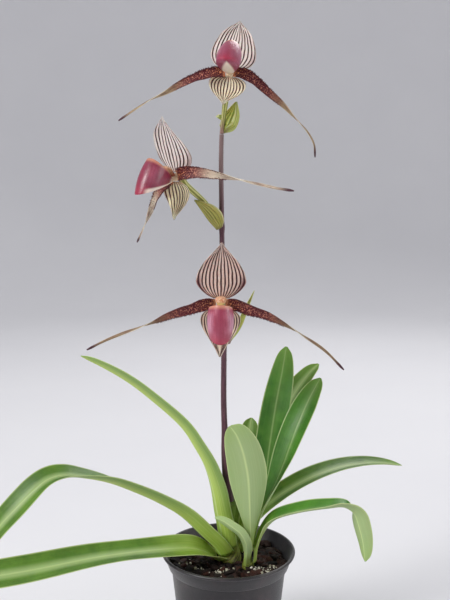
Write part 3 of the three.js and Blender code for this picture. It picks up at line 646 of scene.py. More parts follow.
def leaf_skin(name, face_shades, under_keel_to_shaded_edge, painted_midrib_light):
    """Green straps: glossy and darker on the face, paler and duller under it, with fine veins along
    them, a pale midrib and keel, pale edges, and a yellow-green base. The under shades run from keel
    to edge and grow darker towards the edge as painted shade. The last argument is how strong a band
    of painted light lies along the middle of the face."""
    skin = Finish(name, 0.35, soft=(0.06, 0.003))
    place, run = skin.read("place"), skin.read("run")
    along, across, under = place[0], skin.work("ABSOLUTE", place[1]), place[2]
    streaks = skin.streaks((run[0], 14.0), (run[1], 900.0), run[2], 4.0)
    veins = skin.streaks((run[0], 6.0), (run[1], 2600.0), run[2], 2.0)
    mottle = skin.cloud(skin.object_place(), 42.0, 4.0, 0.6)
    face = skin.layers(
        face_shades[0],
        (face_shades[1], mottle, 0.3, 0.75),
        ("#7c9f48", streaks, 0.45, 0.85, 0.2),
        # A pale band of painted light along the middle of the face.
        ("#b3c888", across, 0.5, 0.08, painted_midrib_light))
    # Under the leaf, painted shade darkens the colour from the keel out to the edge.
    back = skin.layers(
        under_keel_to_shaded_edge[0],
        (under_keel_to_shaded_edge[1], across, 0.08, 0.85),
        ("#bccd98", streaks, 0.35, 0.75, 0.25))
    foot = skin.layers("#98b93c", ("#b9d060", streaks, 0.3, 0.7))
    rib = skin.times(skin.rise(across, 0.1, 0.0), skin.plus(0.3, skin.times(under, 0.4)))
    skin.paint(skin.layers(
        face,
        (back, under),
        ("#93b653", along, 0.8, 1.0, 0.3),
        (foot, along, 0.34, 0.02, 0.85),
        ("#cfe19c", rib),
        ("#d6e4a4", across, 0.9, 1.0, 0.55)))
    skin.gloss(skin.plus(0.34, skin.times(under, 0.2)))
    skin.relief(skin.plus(veins, streaks), 0.00018)
    return skin.material


def make_leaf(leaf, material):
    clasp = math.radians(leaf["clasp"])
    outwards = np.array([math.cos(clasp), math.sin(clasp), 0])
    middle, radius = crown_at(leaf["crown"], leaf["node"])
    base_radius = radius + 1.2 + leaf["tuck"]
    line = [middle + outwards * base_radius] + leaf["line"]
    s = 1 - (1 - np.linspace(0, 1, LEAF_ROWS + 1)) ** 1.35
    t = np.linspace(-1, 1, LEAF_COLUMNS + 1)
    point, _, face, side, length = carried(line, -outwards, s, lambda x: np.radians(through(leaf["turn"], x)))
    opened = ease(s * length / leaf["neck"])
    outline = [(0, leaf["foot"]), (0.12, 0.75 * leaf["foot"] + 0.25)] + LEAF_OUTLINE
    half = base_radius * leaf["hug"] * (1 - opened) + leaf["width"] * through(outline, s) * opened
    bend = leaf["hug"] * (1 - opened) + leaf["wrap"] * opened
    half, bend, opened, rows = half[:, None], bend[:, None], opened[:, None], s[:, None]
    keel = opened * leaf["fold"] * (1.2 - 0.8 * rows) * half * (np.hypot(t, 0.1) - 0.1)
    lift = half / bend * (1 - np.cos(bend * t)) + keel
    surface = laid_across(point, side, face, half / bend * np.sin(bend * t), lift)
    thickness = 0.45 + 0.75 * (1 - t ** 2) + 1.0 * np.exp(-(t / 0.07) ** 2) + 0 * rows
    thickness = thickness * np.minimum(1, 0.35 + 14 * (1 - rows))
    name = f"leaf_{leaf['name']}"
    blade(name + "_strap", surface, thickness, s, t, length, material, "leaf", [name])


# The old leaves carry a strong band of painted light on the face and strong painted shade under it; the young
# ones only a little of each.
YOUNG_LEAF_SKIN = leaf_skin("young_leaf_skin", ("#376a1c", "#50882a"), ("#a2b87e", "#9bb276"), 0.1)
OLD_LEAF_SKIN = leaf_skin("old_leaf_skin", ("#42671d", "#5e842b"), ("#b6cb66", "#7a9a4c"), 0.55)
for leaf in LEAVES:
    make_leaf(leaf, OLD_LEAF_SKIN if leaf["crown"] == "flowering" else YOUNG_LEAF_SKIN)


# The flower stem rises from the heart of the older growth. It is dark and downy, wrapped by dry
# sheaths at its foot, and swells a little where each flower leaves it.

STEM_LINE = [(1.4, 0.4, 177), (-0.8, 0, 190), (-2.6, 0, 213), (-3.7, 0, 243), (-5.1, 0, 283), (-4.9, 0, 343),
             (-5.9, 0, 389), (-6.8, 0, 450), (-7.3, 0, 490), (-7.6, 0, 530), (-7.1, 0, 554)]
STEM_NODES = (0.449, 0.758)
STEM_RADII = [(0, 4.2), (0.06, 4.5), (0.15, 4.4), (0.2, 3.4), (0.25, 3), (0.55, 2.7), (1, 2.2)]
STEM_ROWS = 260
STEM_HAIRS, HAIRY_ROWS = 5200, (60, 258)
FULL_TURN = 6.283


def tube(point, face, side, radii, around, ribs=None):
    """Rings of points round a line, as a closed grid. ribs(angle) scales the radius."""
    angles = 2 * np.pi * np.arange(around) / around
    spokes = face[:, None] * np.sin(angles)[:, None] + side[:, None] * np.cos(angles)[:, None]
    swell = 1 if ribs is None else ribs(angles)
    return point[:, None] + spokes * (np.asarray(radii)[:, None] * swell)[..., None]


def skinned(name, rings, shares, length, material, slot, nodes=()):
    """A closed piece over rings of points."""
    rows, around = rings.shape[:2]
    points = np.concatenate([rings.reshape(-1, 3), rings[:1].mean(1), rings[-1:].mean(1)]) * MM
    faces = [(a, d, c, b) for a, b, c, d in ring_faces(rows - 1, around)]
    for k in range(around):
        faces.append((rows * around, k, (k + 1) % around))
        faces.append((rows * around + 1, (rows - 1) * around + (k + 1) % around, (rows - 1) * around + k))
    turn = np.linspace(0, 1, around, endpoint=False)
    s, t = np.broadcast_arrays(np.asarray(shares)[:, None], turn)
    place = np.stack([s, t, 0 * s], 2).reshape(-1, 3)
    place = np.concatenate([place, [(shares[0], 0, 0), (shares[-1], 0, 0)]])
    run = place * (length * MM, 0.02, 0)
    return make_piece(name, points, faces, material, slot, nodes, place=place, run=run)


def hairs(name, roots, ways, lengths, material, slot, width=0.05):
    """Fine tapering hairs with three sides, curved a little downwards."""
    roots, ways = np.asarray(roots, float), np.asarray(ways, float)
    ways = ways / np.maximum(np.linalg.norm(ways, axis=1)[:, None], 1e-9)
    lengths = np.asarray(lengths)[:, None]
    aside = np.cross(ways, (0.31, 0.17, 0.93))
    aside /= np.linalg.norm(aside, axis=1)[:, None]
    other = np.cross(ways, aside)
    spread = [math.cos(k) * aside + math.sin(k) * other for k in (0, 2.094, 4.189)]
    middle = roots + ways * lengths * 0.55
    tip = roots + ways * lengths + (0, 0, -1) * lengths * 0.12
    foot_ring, middle_ring = [roots + width * a for a in spread], [middle + 0.7 * width * a for a in spread]
    points = np.stack(foot_ring + middle_ring + [tip], 1).reshape(-1, 3) * MM
    start = np.arange(len(roots))[:, None] * 7
    sides = np.concatenate([start + side for side in ((0, 1, 4, 3), (1, 2, 5, 4), (2, 0, 3, 5))])
    tips = np.concatenate([start + corner for corner in ((3, 4, 6), (4, 5, 6), (5, 3, 6), (2, 1, 0))])
    return make_piece(name, points, sides.tolist() + tips.tolist(), material, slot)


def plain_finish(name, shades, rough):
    """A fine finish that only varies a little, for hairs and other small trim."""
    finish = Finish(name, 0.5, rough)
    finish.paint(finish.blend(finish.cloud(finish.object_place(), 300.0), *shades))
    return finish.material


def stem_skin():
    """Dark purple, streaked and downy, browner towards the top."""
    skin = Finish("stem_skin", 0.3, 0.62, Sheen_Weight=0.35, Sheen_Roughness=0.5)
    place, run = skin.read("place"), skin.read("run")
    streaks = skin.streaks((run[0], 60.0), (place[1], 24.0), 0.0, 4.0, 0.6)
    specks = skin.cloud(skin.object_place(), 1200.0)
    skin.paint(skin.layers(
        "#3a1f28",
        ("#704653", streaks, 0.3, 0.75),
        ("#85706c", place[0], 0.74, 0.95, 0.7),
        ("#96787a", specks, 0.55, 0.8, 0.3)))
    skin.relief(skin.plus(specks, streaks), 0.00025)
    return skin.material


def make_stem():
    s = np.linspace(0, 1, STEM_ROWS)
    point, tangent, face, side, length = carried(STEM_LINE, (0, -1, 0), s)
    radii = through(STEM_RADII, s) + sum(0.6 * np.exp(-((s - node) / 0.012) ** 2) for node in STEM_NODES)
    rings = tube(point, face, side, radii, 24, lambda a: 1 + 0.035 * np.cos(5 * a))
    skinned("flower_stem_rod", rings, s, length, stem_skin(), "stem", ["flower_stem"])
    roots, ways, lengths = [], [], []
    for _ in range(STEM_HAIRS):
        row, angle = chance.randrange(*HAIRY_ROWS), chance.uniform(0, FULL_TURN)
        way = face[row] * math.sin(angle) + side[row] * math.cos(angle)
        roots.append(point[row] + way * radii[row] * 0.97 + tangent[row] * chance.uniform(-0.8, 0.8))
        ways.append(way + tangent[row] * chance.uniform(0, 0.6))
        lengths.append(chance.uniform(0.5, 1.1))
    down = plain_finish("stem_down", ("#6d4a52", "#a58a88"), 0.7)
    hairs("flower_stem_down", roots, ways, lengths, down, "stem", 0.035)


make_stem()


# The flowers. Each stands at centre, turned to the viewer's left by turn, nodding forward by nod
# and rolled about the line of sight by roll. In a flower's own frame +X is to the right of someone
# facing it, +Z is up towards the upper sepal and -Y comes forward.

FLOWERS = [
    {"name": "low", "centre": (-7.8, -46, 392.7), "turn": 0, "nod": 12, "roll": 1,
     "size": 1, "drop": 15, "hood": 8, "upper": 57.5, "lower": 50, "bract_width": 3.6,
     "left": [(-15, -4, 0), (-29, -7, -4), (-48, -8, -10), (-67, -7, -19), (-92, -5, -30),
             (-112, -3, -40), (-130, 0, -51)],
     "right": [(15, -4, 0), (28, -7, -4), (42, -8, -8), (62, -7, -18), (82, -6, -31), (102, -4, -46),
              (122, -2, -67)],
     "stalk": [(-0.2, -2.4, 345.5), (3.5, -7, 356), (5.5, -15, 369), (4, -25, 382), (-1.5, -34, 391)],
     "bract": [(-1.2, 3.6, 344), (4.6, 2.4, 352), (12, -4, 365), (18.4, -10, 382), (25.4, -14, 400.5)]},
    {"name": "middle", "centre": (-51, -28, 512.2), "turn": 47, "nod": 3, "roll": 0,
     "size": 1, "drop": 0, "hood": 14, "upper": 52.5, "lower": 36, "bract_width": 14.5,
     "left": [(-12, -3, -6), (-24, -3, -15), (-38, 0, -28), (-53, 4, -42), (-68, 8, -55),
             (-83, 12, -68)],
     "right": [(13, -3.6, 3.4), (28, 1, 4.2), (50, 9, 1), (71, 13, -2.4), (91, 18, -7), (109, 22, -11),
              (127, 28, -14)],
     "stalk": [(-10.8, -2.2, 465), (-16, -6, 478), (-24, -9, 488), (-33, -13, 496.5), (-42, -18.5, 505)],
     "bract": [(-11.6, -2.2, 460.5), (-19.4, -7.4, 469.5), (-26.6, -12.4, 480), (-33.4, -16.4, 490)]},
    {"name": "top", "centre": (0.6, -20, 610.4), "turn": 2, "nod": -23, "roll": 9,
     "size": 0.92, "drop": -2, "hood": -5, "upper": 61, "lower": 34, "bract_width": 20,
     "left": [(-14, -4, -4), (-29, -5, -11), (-46, -3, -21), (-62, 2, -31), (-78, 8, -39),
             (-93, 16, -48), (-110, 27, -58)],
     "right": [(14, -4, -1), (27, -3, -6), (43, 2, -15), (59, 11, -21), (75, 23, -29), (89, 35, -36),
              (98, 47, -44), (101, 56, -54)],
     "stalk": [(-7.1, 0, 554.4), (-5.4, -0.5, 568), (-3.6, -2, 583), (-1.4, -6, 598)],
     "bract": [(-5, 3.4, 555.6), (4.4, 7.2, 559), (9.4, 7.4, 571), (8, 5.6, 586)]},
]


def stand(flower, points):
    """Points in a flower's own frame, moved to where the flower stands."""
    spin = Matrix.Rotation(-math.radians(flower["turn"]), 3, "Z")
    spin = spin @ Matrix.Rotation(math.radians(flower["nod"]), 3, "X")
    spin = np.array(spin @ Matrix.Rotation(math.radians(flower["roll"]), 3, "Y"))
    return np.asarray(points, float) * flower["size"] @ spin.T + flower["centre"]


# Each flower sits on its own ovary, a ribbed downy stalk that leaves the stem in the fold of a
# pointed green bract. Both are living tissue, yellow-green with darker veins.

HUB = 4
OVARY_RIBS = 6
OVARY_RADII = [(0, 1.8), (0.25, 2.2), (0.6, 2.9), (0.88, 3.3)]
BRACT_OUTLINE = [(0, 0.42), (0.15, 0.8), (0.4, 1), (0.65, 0.85), (0.85, 0.45), (1, 0.08)]
BRACT_BEND = 1.15


def ovary_skin():
    skin = Finish("ovary_skin", 0.35, 0.55, Sheen_Weight=0.3)
    place, run = skin.read("place"), skin.read("run")
    ribs = skin.work("COSINE", skin.times(place[1], 2 * math.pi * OVARY_RIBS))
    streaks = skin.streaks((run[0], 70.0), (place[1], 30.0))
    skin.paint(skin.layers(
        "#8b8f45",
        ("#d2cf86", ribs, -0.2, 0.9),
        ("#6d6a35", streaks, 0.5, 0.8, 0.5),
        ("#8d6b63", place[0], 0.3, 0.0),
        ("#e0c49f", place[0], 0.86, 0.95)))
    skin.relief(streaks, 0.0002)
    return skin.material


def bract_skin(name, body, lit, vein):
    skin = Finish(name, 0.4, soft=(0.15, 0.003))
    place, run = skin.read("place"), skin.read("run")
    across = skin.work("ABSOLUTE", place[1])
    streaks = skin.streaks((run[0], 30.0), (place[1], 9.0), run[2])
    veins = skin.work("COSINE", skin.plus(skin.times(place[1], 36.0), skin.times(streaks, 3.0)))
    skin.paint(skin.layers(
        body,
        (lit, streaks, 0.3, 0.7),
        (vein, veins, 0.45, 0.95, 0.7),
        ("#6d5a3a", place[0], 0.12, 0.0, 0.5),
        ("#dfe3b0", across, 0.86, 1.0, 0.6)))
    skin.relief(veins, 0.0002)
    return skin.material


def make_ovary(flower, material):
    hub = stand(flower, [(0, 5, 0), (0, -1.6, 0)])
    s = np.linspace(0, 1, 70)
    point, _, face, side, length = carried(flower["stalk"] + list(map(tuple, hub)), (0, -1, 0), s)
    radii = through(OVARY_RADII + [(1, HUB * flower["size"])], s)
    rings = tube(point, face, side, radii, 36, lambda a: 1 + 0.08 * np.cos(OVARY_RIBS * a))
    name = flower["name"]
    skinned(f"{name}_flower_ovary", rings, s, length, material, "green", [f"flower_{name}_ovary"])


def make_bract(flower, material):
    s, t = np.linspace(0, 1, 48), np.linspace(-1, 1, 25)
    inwards = np.array(flower["stalk"][1], float) - flower["bract"][1]
    point, _, face, side, length = carried(flower["bract"], inwards, s)
    half = (flower["bract_width"] * through(BRACT_OUTLINE, s))[:, None]
    lift = half / BRACT_BEND * (1 - np.cos(BRACT_BEND * t)) + 0.3 * half * (np.hypot(t, 0.06) - 0.06)
    surface = laid_across(point, side, face, half / BRACT_BEND * np.sin(BRACT_BEND * t), lift)
    thickness = 0.4 + 0.5 * (1 - t ** 2) + 0.5 * np.exp(-(t / 0.08) ** 2) + 0 * s[:, None]
    name = flower["name"]
    blade(f"{name}_flower_bract", surface, thickness, s, t, length, material, "green",
          [f"flower_{name}_bract"])


# Each flower's bract has its own tones. The low flower's bract is painted paler than the other two, as
# painted light.
BRACT_TONES_AND_PAINTED_LIGHT = {"low": ("#c2ca62", "#dfe58f", "#7d9440"), "middle": ("#9fa046", "#beba68", "#6a5f28"),
                "top": ("#9fa843", "#bfc766", "#4f6524")}
OVARY_SKIN = ovary_skin()
for flower in FLOWERS:
    make_ovary(flower, OVARY_SKIN)
    make_bract(flower, bract_skin(f"{flower['name']}_bract_skin", *BRACT_TONES_AND_PAINTED_LIGHT[flower["name"]]))


# The sepals: one broad upper one, and a lower piece of two grown together behind the pouch. Dark
# veins run from the foot of each to its point as stripes on cream, and fine hairs fringe its edge.

DORSAL_OUTLINE = [(0, 7), (0.04, 12.4), (0.1, 17.4), (0.18, 21.4), (0.27, 23.7), (0.36, 23.5), (0.48, 21.7),
                  (0.58, 19), (0.68, 15.8), (0.78, 11.2), (0.86, 7), (0.93, 3.4), (0.97, 1.6), (1, 0.7)]
DORSAL_CUP = [(0, 0), (0.12, 3.6), (0.3, 2), (0.5, -1.5), (0.75, -4.5), (1, 0)]
LOWER_OUTLINE = [(0, 7), (0.06, 13.5), (0.13, 17.5), (0.22, 19.2), (0.32, 19), (0.44, 17), (0.56, 13.8),
                 (0.66, 10.6), (0.76, 7.2), (0.86, 4.2), (0.94, 2.2), (1, 0.7)]
FRINGED = (0.05, 0.97)
FRINGE_LENGTH, FRINGE_WIDTH = 0.8, 0.045


def sepal_skin(name, stripes, finest, ground, ink, blushed):
    """Dark veins on cream, bold and even, that waver a little and draw together at foot and point.
    Between them run faint thin ones. The higher finest is, the finer are the bold ones. blushed is
    how dark the edges are near the foot."""
    skin = Finish(name, 0.3, 0.55, (0.12, 0.002))
    place, run = skin.read("place"), skin.read("run")
    across = skin.work("ABSOLUTE", place[1])
    waver = skin.streaks((run[0], 50.0), (place[1], 2.0), detail=2.0)
    speckle = skin.streaks((run[0], 260.0), (place[1], 40.0), run[2])
    level = skin.plus(skin.times(place[1], 0.68), skin.times(run[1], 0.32 / 0.0235))
    parted = skin.rise(place[0], 0.1, 0.45)
    gathered = skin.times(place[1], skin.work("SUBTRACT", 1.0, parted))
    even = skin.plus(skin.times(level, parted), gathered)
    shifted = skin.plus(even, skin.times(skin.plus(waver, -0.5), 0.1))
    bold, fine = (skin.work("COSINE", skin.times(shifted, k * math.pi * stripes)) for k in (1, 2))
    strong = skin.rise(bold, finest - 0.28, finest + 0.27)
    thin = skin.times(skin.rise(fine, 0.9, 1.0), skin.rise(speckle, 0.45, 0.65), 0.3)
    blush = skin.times(skin.rise(across, 0.76, 0.9), skin.rise(place[0], 0.46, 0.26), blushed)
    dark = skin.layers(ink[0], (ink[1], speckle, 0.3, 0.8))
    skin.paint(skin.layers(
        ground[0],
        (ground[1], speckle, 0.3, 0.8),
        ("#c08a68", place[0], 0.12, 0.0, 0.6),
        ("#6d2637", blush),
        (dark, skin.times(skin.work("MAXIMUM", strong, thin), 0.97)),
        ("#e9dccb", across, 0.96, 1.0, 0.5)))
    skin.relief(skin.plus(skin.times(bold, 0.6), speckle), 0.00025)
    return skin.material


def fringe(name, surface, count, material):
    """Hairs along the two edges of a sheet."""
    roots, ways, lengths = [], [], []
    low, high = FRINGED
    rows = surface.shape[0] - 1
    for k in range(count):
        row = int((low + (high - low) * (k + chance.random()) / count) * rows)
        column, inner = (0, 1) if k % 2 else (-1, -2)
        out = surface[row, column] - surface[row, inner]
        roots.append(surface[row, column])
        ways.append(out / np.linalg.norm(out) + np.array([chance.uniform(-0.35, 0.35) for _ in range(3)]))
        lengths.append(FRINGE_LENGTH * chance.uniform(0.6, 1.2))
    hairs(name, roots, ways, lengths, material, "sepal", FRINGE_WIDTH)


def make_sepals(flower, skins, down):
    s, t = np.linspace(0, 1, 90), np.linspace(-1, 1, 61)
    rows = s[:, None]
    ridge = 0.16 * np.cos(np.pi * 13 * t) * np.minimum(1, 6 * (1 - rows)) * np.minimum(1, 8 * rows)
    thickness = 0.35 + 0.45 * (1 - t ** 4) + 0 * rows
    depth = 0.6 + np.sin(np.pi * rows) - flower["hood"] * rows ** 1.15
    depth = depth + through(DORSAL_CUP, s)[:, None] * t ** 2
    height = HUB + 0.5 + flower["upper"] * rows
    upper = np.stack([through(DORSAL_OUTLINE, s)[:, None] * t, depth + ridge, height + 0 * t], 2)
    half = through(LOWER_OUTLINE, s)[:, None]
    depth = 0.6 + 5 * np.sin(np.pi * np.minimum(rows * 1.1, 1)) - 5 * rows ** 2 - 0.22 * half * t ** 2
    lower = np.stack([half * t, depth + ridge, -(HUB + 0.5 + flower["lower"] * rows) + 0 * t], 2)
    name = flower["name"]
    both = (("upper", "dorsal", upper, 1, 260), ("lower", "lower", lower, -1, 200))
    for end, node, sheet, front, hair_count in both:
        standing = stand(flower, sheet)
        blade(f"{name}_flower_{end}_sepal", standing, thickness, s, t, flower[end], skins[end], "sepal",
              [f"flower_{name}_{node}_sepal"], front)
        fringe(f"{name}_flower_{end}_fringe", standing, hair_count, down)


PINK_INK, BROWN_INK = ("#2c0d13", "#4d1e22"), ("#3a1a18", "#5a2f28")
SEPAL_LOOKS = {
    "low": {"upper": (13, 0.1, ("#dcb8a8", "#f8e6da"), PINK_INK, 0.9),
            "lower": (15, 0.1, ("#dfc2a8", "#f4e3cf"), PINK_INK, 0)},
    "middle": {"upper": (10, 0.35, ("#ddcfc8", "#f6efea"), PINK_INK, 0.4),
               "lower": (9, 0.3, ("#e6d9ad", "#fbf3d4"), BROWN_INK, 0)},
    "top": {"upper": (13, 0.25, ("#dfcfc6", "#f5ebe3"), PINK_INK, 0.3),
            "lower": (12, 0.25, ("#e8d9b6", "#faf0d8"), BROWN_INK, 0)},
}
SEPAL_DOWN = plain_finish("sepal_down", ("#8b5a5c", "#d9c3b6"), 0.7)
for flower in FLOWERS:
    looks = SEPAL_LOOKS[flower["name"]]
    skins = {end: sepal_skin(f"{flower['name']}_{end}_sepal_skin", *look) for end, look in looks.items()}
    make_sepals(flower, skins, SEPAL_DOWN)


# The petals are long ribbons that narrow, waver and make half a turn on their way out to a swollen
# dark tip. Towards the foot they are crowded with maroon warts that carry tufts of dark hair.

PETAL_OUTLINE = [(0, 4.4), (0.05, 5.8), (0.12, 5.9), (0.2, 5.1), (0.3, 4.3), (0.42, 3.2), (0.58, 2.3),
                 (0.75, 1.5), (0.9, 1.1), (0.96, 1.15), (1, 0.6)]
PETAL_ROWS, PETAL_COLUMNS = 200, 15
PETAL_WARTS = 230
PETAL_RIMS = (0, 1, 13, 14)


def petal_skin(name, spotted_to, pale):
    """Maroon spots on orange up to spotted_to, a share of the length, then pale with fine brown lines
    and cream edges, partly their own colour and partly a painted highlight, and a dark tip."""
    skin = Finish(name, 0.35, soft=(0.1, 0.002))
    place, run = skin.read("place"), skin.read("run")
    along, across = place[0], skin.work("ABSOLUTE", place[1])
    where = skin.place(skin.times(run[0], 820.0), skin.times(run[1], 1050.0), run[2])
    spots = skin.rise(skin.cells(where, 1.0), 0.76, 0.56)
    streaks = skin.streaks((run[0], 60.0), (run[1], 1500.0), run[2])
    near, far = skin.rise(along, -0.02, 0.04), skin.rise(along, spotted_to, spotted_to - 0.24)
    between = skin.times(skin.rise(along, 0.3, 0.5), skin.rise(along, 0.97, 0.8))
    # Cream edges on the outer half: partly the margin's own colour, partly a painted highlight.
    edge = skin.times(skin.rise(across, 0.7, 0.95), skin.rise(along, 0.4, 0.55), 0.85)
    skin.paint(skin.layers(
        "#d98f60",
        ("#b97460", along, 0.04, 0.16),
        (pale, along, spotted_to - 0.22, spotted_to),
        ("#55121f", skin.times(spots, near, far)),
        ("#6a463a", skin.times(skin.rise(streaks, 0.42, 0.6), between, 0.8)),
        ("#e2d8c2", edge),
        ("#4a2530", along, 0.84, 0.97)))
    skin.relief(skin.plus(spots, streaks), 0.0003)
    return skin.material


def make_petal(flower, hand, sign, skin, wart_skin, hair_skin):
    first = np.array(flower[hand][0], float) * (1, 0, 1)
    base = first / np.linalg.norm(first) * (HUB + 0.6)
    base[1] = -1.1
    s, t = np.linspace(0, 1, PETAL_ROWS), np.linspace(-1, 1, PETAL_COLUMNS)
    point, _, face, side, length = carried([base] + flower[hand], (0, -1, 0), s,
                                           lambda x: sign * np.pi * ease((x - 0.25) / 0.7))
    half = through(PETAL_OUTLINE, s)[:, None]
    ripple = np.sin(s * length / 3.1)[:, None] * 0.55 * np.exp(-((s - 0.17) / 0.16) ** 2)[:, None]
    ripple = ripple * np.abs(t) ** 1.5 * np.sign(t)
    surface = stand(flower, laid_across(point, side, face, half * t, 0.25 * half * t * t + ripple))
    thickness = (0.4 + 0.45 * (1 - t ** 2)) * (1 + 0.8 * np.exp(-((s - 0.965) / 0.03) ** 2))[:, None]
    title = f"{flower['name']}_flower_petal_{hand}"
    blade(title, surface, thickness, s, t, length, skin, "petal", [f"flower_{flower['name']}_petal_{hand}"])
    outward = np.cross(np.gradient(surface, axis=1), np.gradient(surface, axis=0))
    outward /= np.linalg.norm(outward, axis=2, keepdims=True)
    middle, last = PETAL_COLUMNS // 2, PETAL_COLUMNS - 1
    lumps, roots, ways, lengths = [], [], [], []
    for k in range(PETAL_WARTS):
        share = 0.03 + 0.42 * (k + chance.random()) / PETAL_WARTS
        row = int(share * (PETAL_ROWS - 1))
        column = chance.choice((0, 0, 1, last - 1, last, last, chance.randrange(2, last - 1)))
        spot, way = surface[row, column], outward[row, column]
        away = spot - surface[row, middle] if column != middle else way
        away = away / np.linalg.norm(away)
        size = chance.uniform(0.4, 0.8) * (1 - 0.9 * share)
        lumps.append(lump(spot * MM + way * 0.3 * MM, np.array([size, size, size * 0.8]) * MM, (0, 0, 0), 0.1,
                          (chance.random(), 0, 0)))
        on_rim = column in PETAL_RIMS
        for _ in range(2 if on_rim else 1):
            roots.append(spot + way * 0.4)
            lean = np.array([chance.uniform(-0.4, 0.4) for _ in range(3)])
            ways.append((away * 1.2 if on_rim else 0) + way * 0.9 + lean)
            lengths.append(chance.uniform(1.1, 2.5) * (1 - share))
    heap(f"{title}_warts", lumps, wart_skin, "petal", smooth=True)
    hairs(f"{title}_hairs", roots, ways, lengths, hair_skin, "petal", 0.1)


PETAL_LOOKS = {"low": (0.5, "#9c8563"), "middle": (0.36, "#cdbda6"), "top": (0.52, "#b39c76")}
WART_SKIN = plain_finish("petal_warts", ("#3d0d16", "#68202a"), 0.35)
PETAL_HAIR = plain_finish("petal_hairs", ("#300c14", "#6a2a30"), 0.6)
for flower in FLOWERS:
    skin = petal_skin(f"{flower['name']}_petal_skin", *PETAL_LOOKS[flower["name"]])
    make_petal(flower, "left", -1, skin, WART_SKIN, PETAL_HAIR)
    make_petal(flower, "right", 1, skin, WART_SKIN, PETAL_HAIR)


# The lip is a thin glossy bag with an open mouth on top. Its wall hangs from the mouth to a narrow
# sole, which runs from the claw at the back, where it is held, to the rounded toe.

AROUND_POUCH, POUCH_ROWS = 96, 36
POUCH_THICKNESS = 0.9
CLAW = np.array([0, -2.6, -3.2])


def pouch_skin(name, shades, coat, sheen, hem):
    """Rose with darker streaks and a fine net of veins, cream on the sole and claw, and orange at the
    mouth. sheen is how much paler mauve its flanks are, partly a waxy bloom and partly a painted
    highlight, and hem how pale its lower edge is."""
    skin = Finish(name, 0.5, 0.38, (0.15, 0.003), Coat_Weight=coat, Coat_Roughness=0.2)
    down, forward, inside = skin.read("place")
    aside = skin.work("ABSOLUTE", skin.read("run")[0])
    where = skin.object_place()
    net = skin.cells(where, 520.0, "DISTANCE_TO_EDGE")
    mottle = skin.cloud(where, 120.0, 4.0, 0.6)
    streaks = skin.streaks((aside, 16.0), (down, 1.2), forward, 4.0)
    between = skin.times(skin.rise(down, 0.9, 0.6), skin.rise(down, 0.1, 0.35))
    # Paler mauve flanks: partly a waxy bloom, partly a painted highlight.
    flank_bloom_and_highlight = skin.times(skin.rise(aside, 0.35, 0.7), between, skin.rise(forward, 0.5, 0.95), sheen)
    midline = skin.times(skin.rise(aside, 0.3, 0.0), skin.rise(forward, 0.5, 0.9), 0.75)
    toe = skin.times(skin.rise(down, 0.7, 1.0), skin.rise(forward, 0.8, 1.0), 0.6)
    narrowing = skin.plus(aside, skin.times(forward, 1.4))
    sole = skin.times(skin.rise(down, 0.9, 0.98), skin.rise(narrowing, 1.3, 1.0))
    claw = skin.times(skin.rise(down, 0.35, 0.7), skin.rise(forward, 0.3, 0.1))
    edge = skin.times(skin.rise(down, 0.84, 0.93), skin.rise(forward, 0.97, 0.86), hem)
    pale = skin.work("MAXIMUM", skin.work("MAXIMUM", sole, claw), edge)
    skin.paint(skin.layers(
        shades[0],
        (shades[1], mottle, 0.3, 0.75),
        ("#cf9bb0", flank_bloom_and_highlight),
        ("#8d1f3f", midline),
        ("#86203f", streaks, 0.46, 0.66, 0.5),
        ("#b02a45", toe),
        ("#741f40", net, 0.07, 0.0, 0.25),
        ("#f6e4d2", pale),
        ("#e2a07c", down, 0.14, 0.0, 0.75),
        ("#e2bf98", forward, 0.2, 0.03, 0.8),
        ("#a52a50", skin.times(inside, 0.7))))
    skin.relief(skin.plus(mottle, net), 0.0002)
    return skin.material


def pouch_line(forward, across, widths, reaches, heights, sag=0):
    """One line round the pouch. Each pair of sizes is for the claw and for the toe."""
    reach, height = (claw + (toe - claw) * forward for claw, toe in (reaches, heights))
    width = widths[0] + (widths[1] - widths[0]) * (forward if sag else np.sqrt(forward))
    return np.stack([width * across, -reach, height - sag * across ** 2], 1)


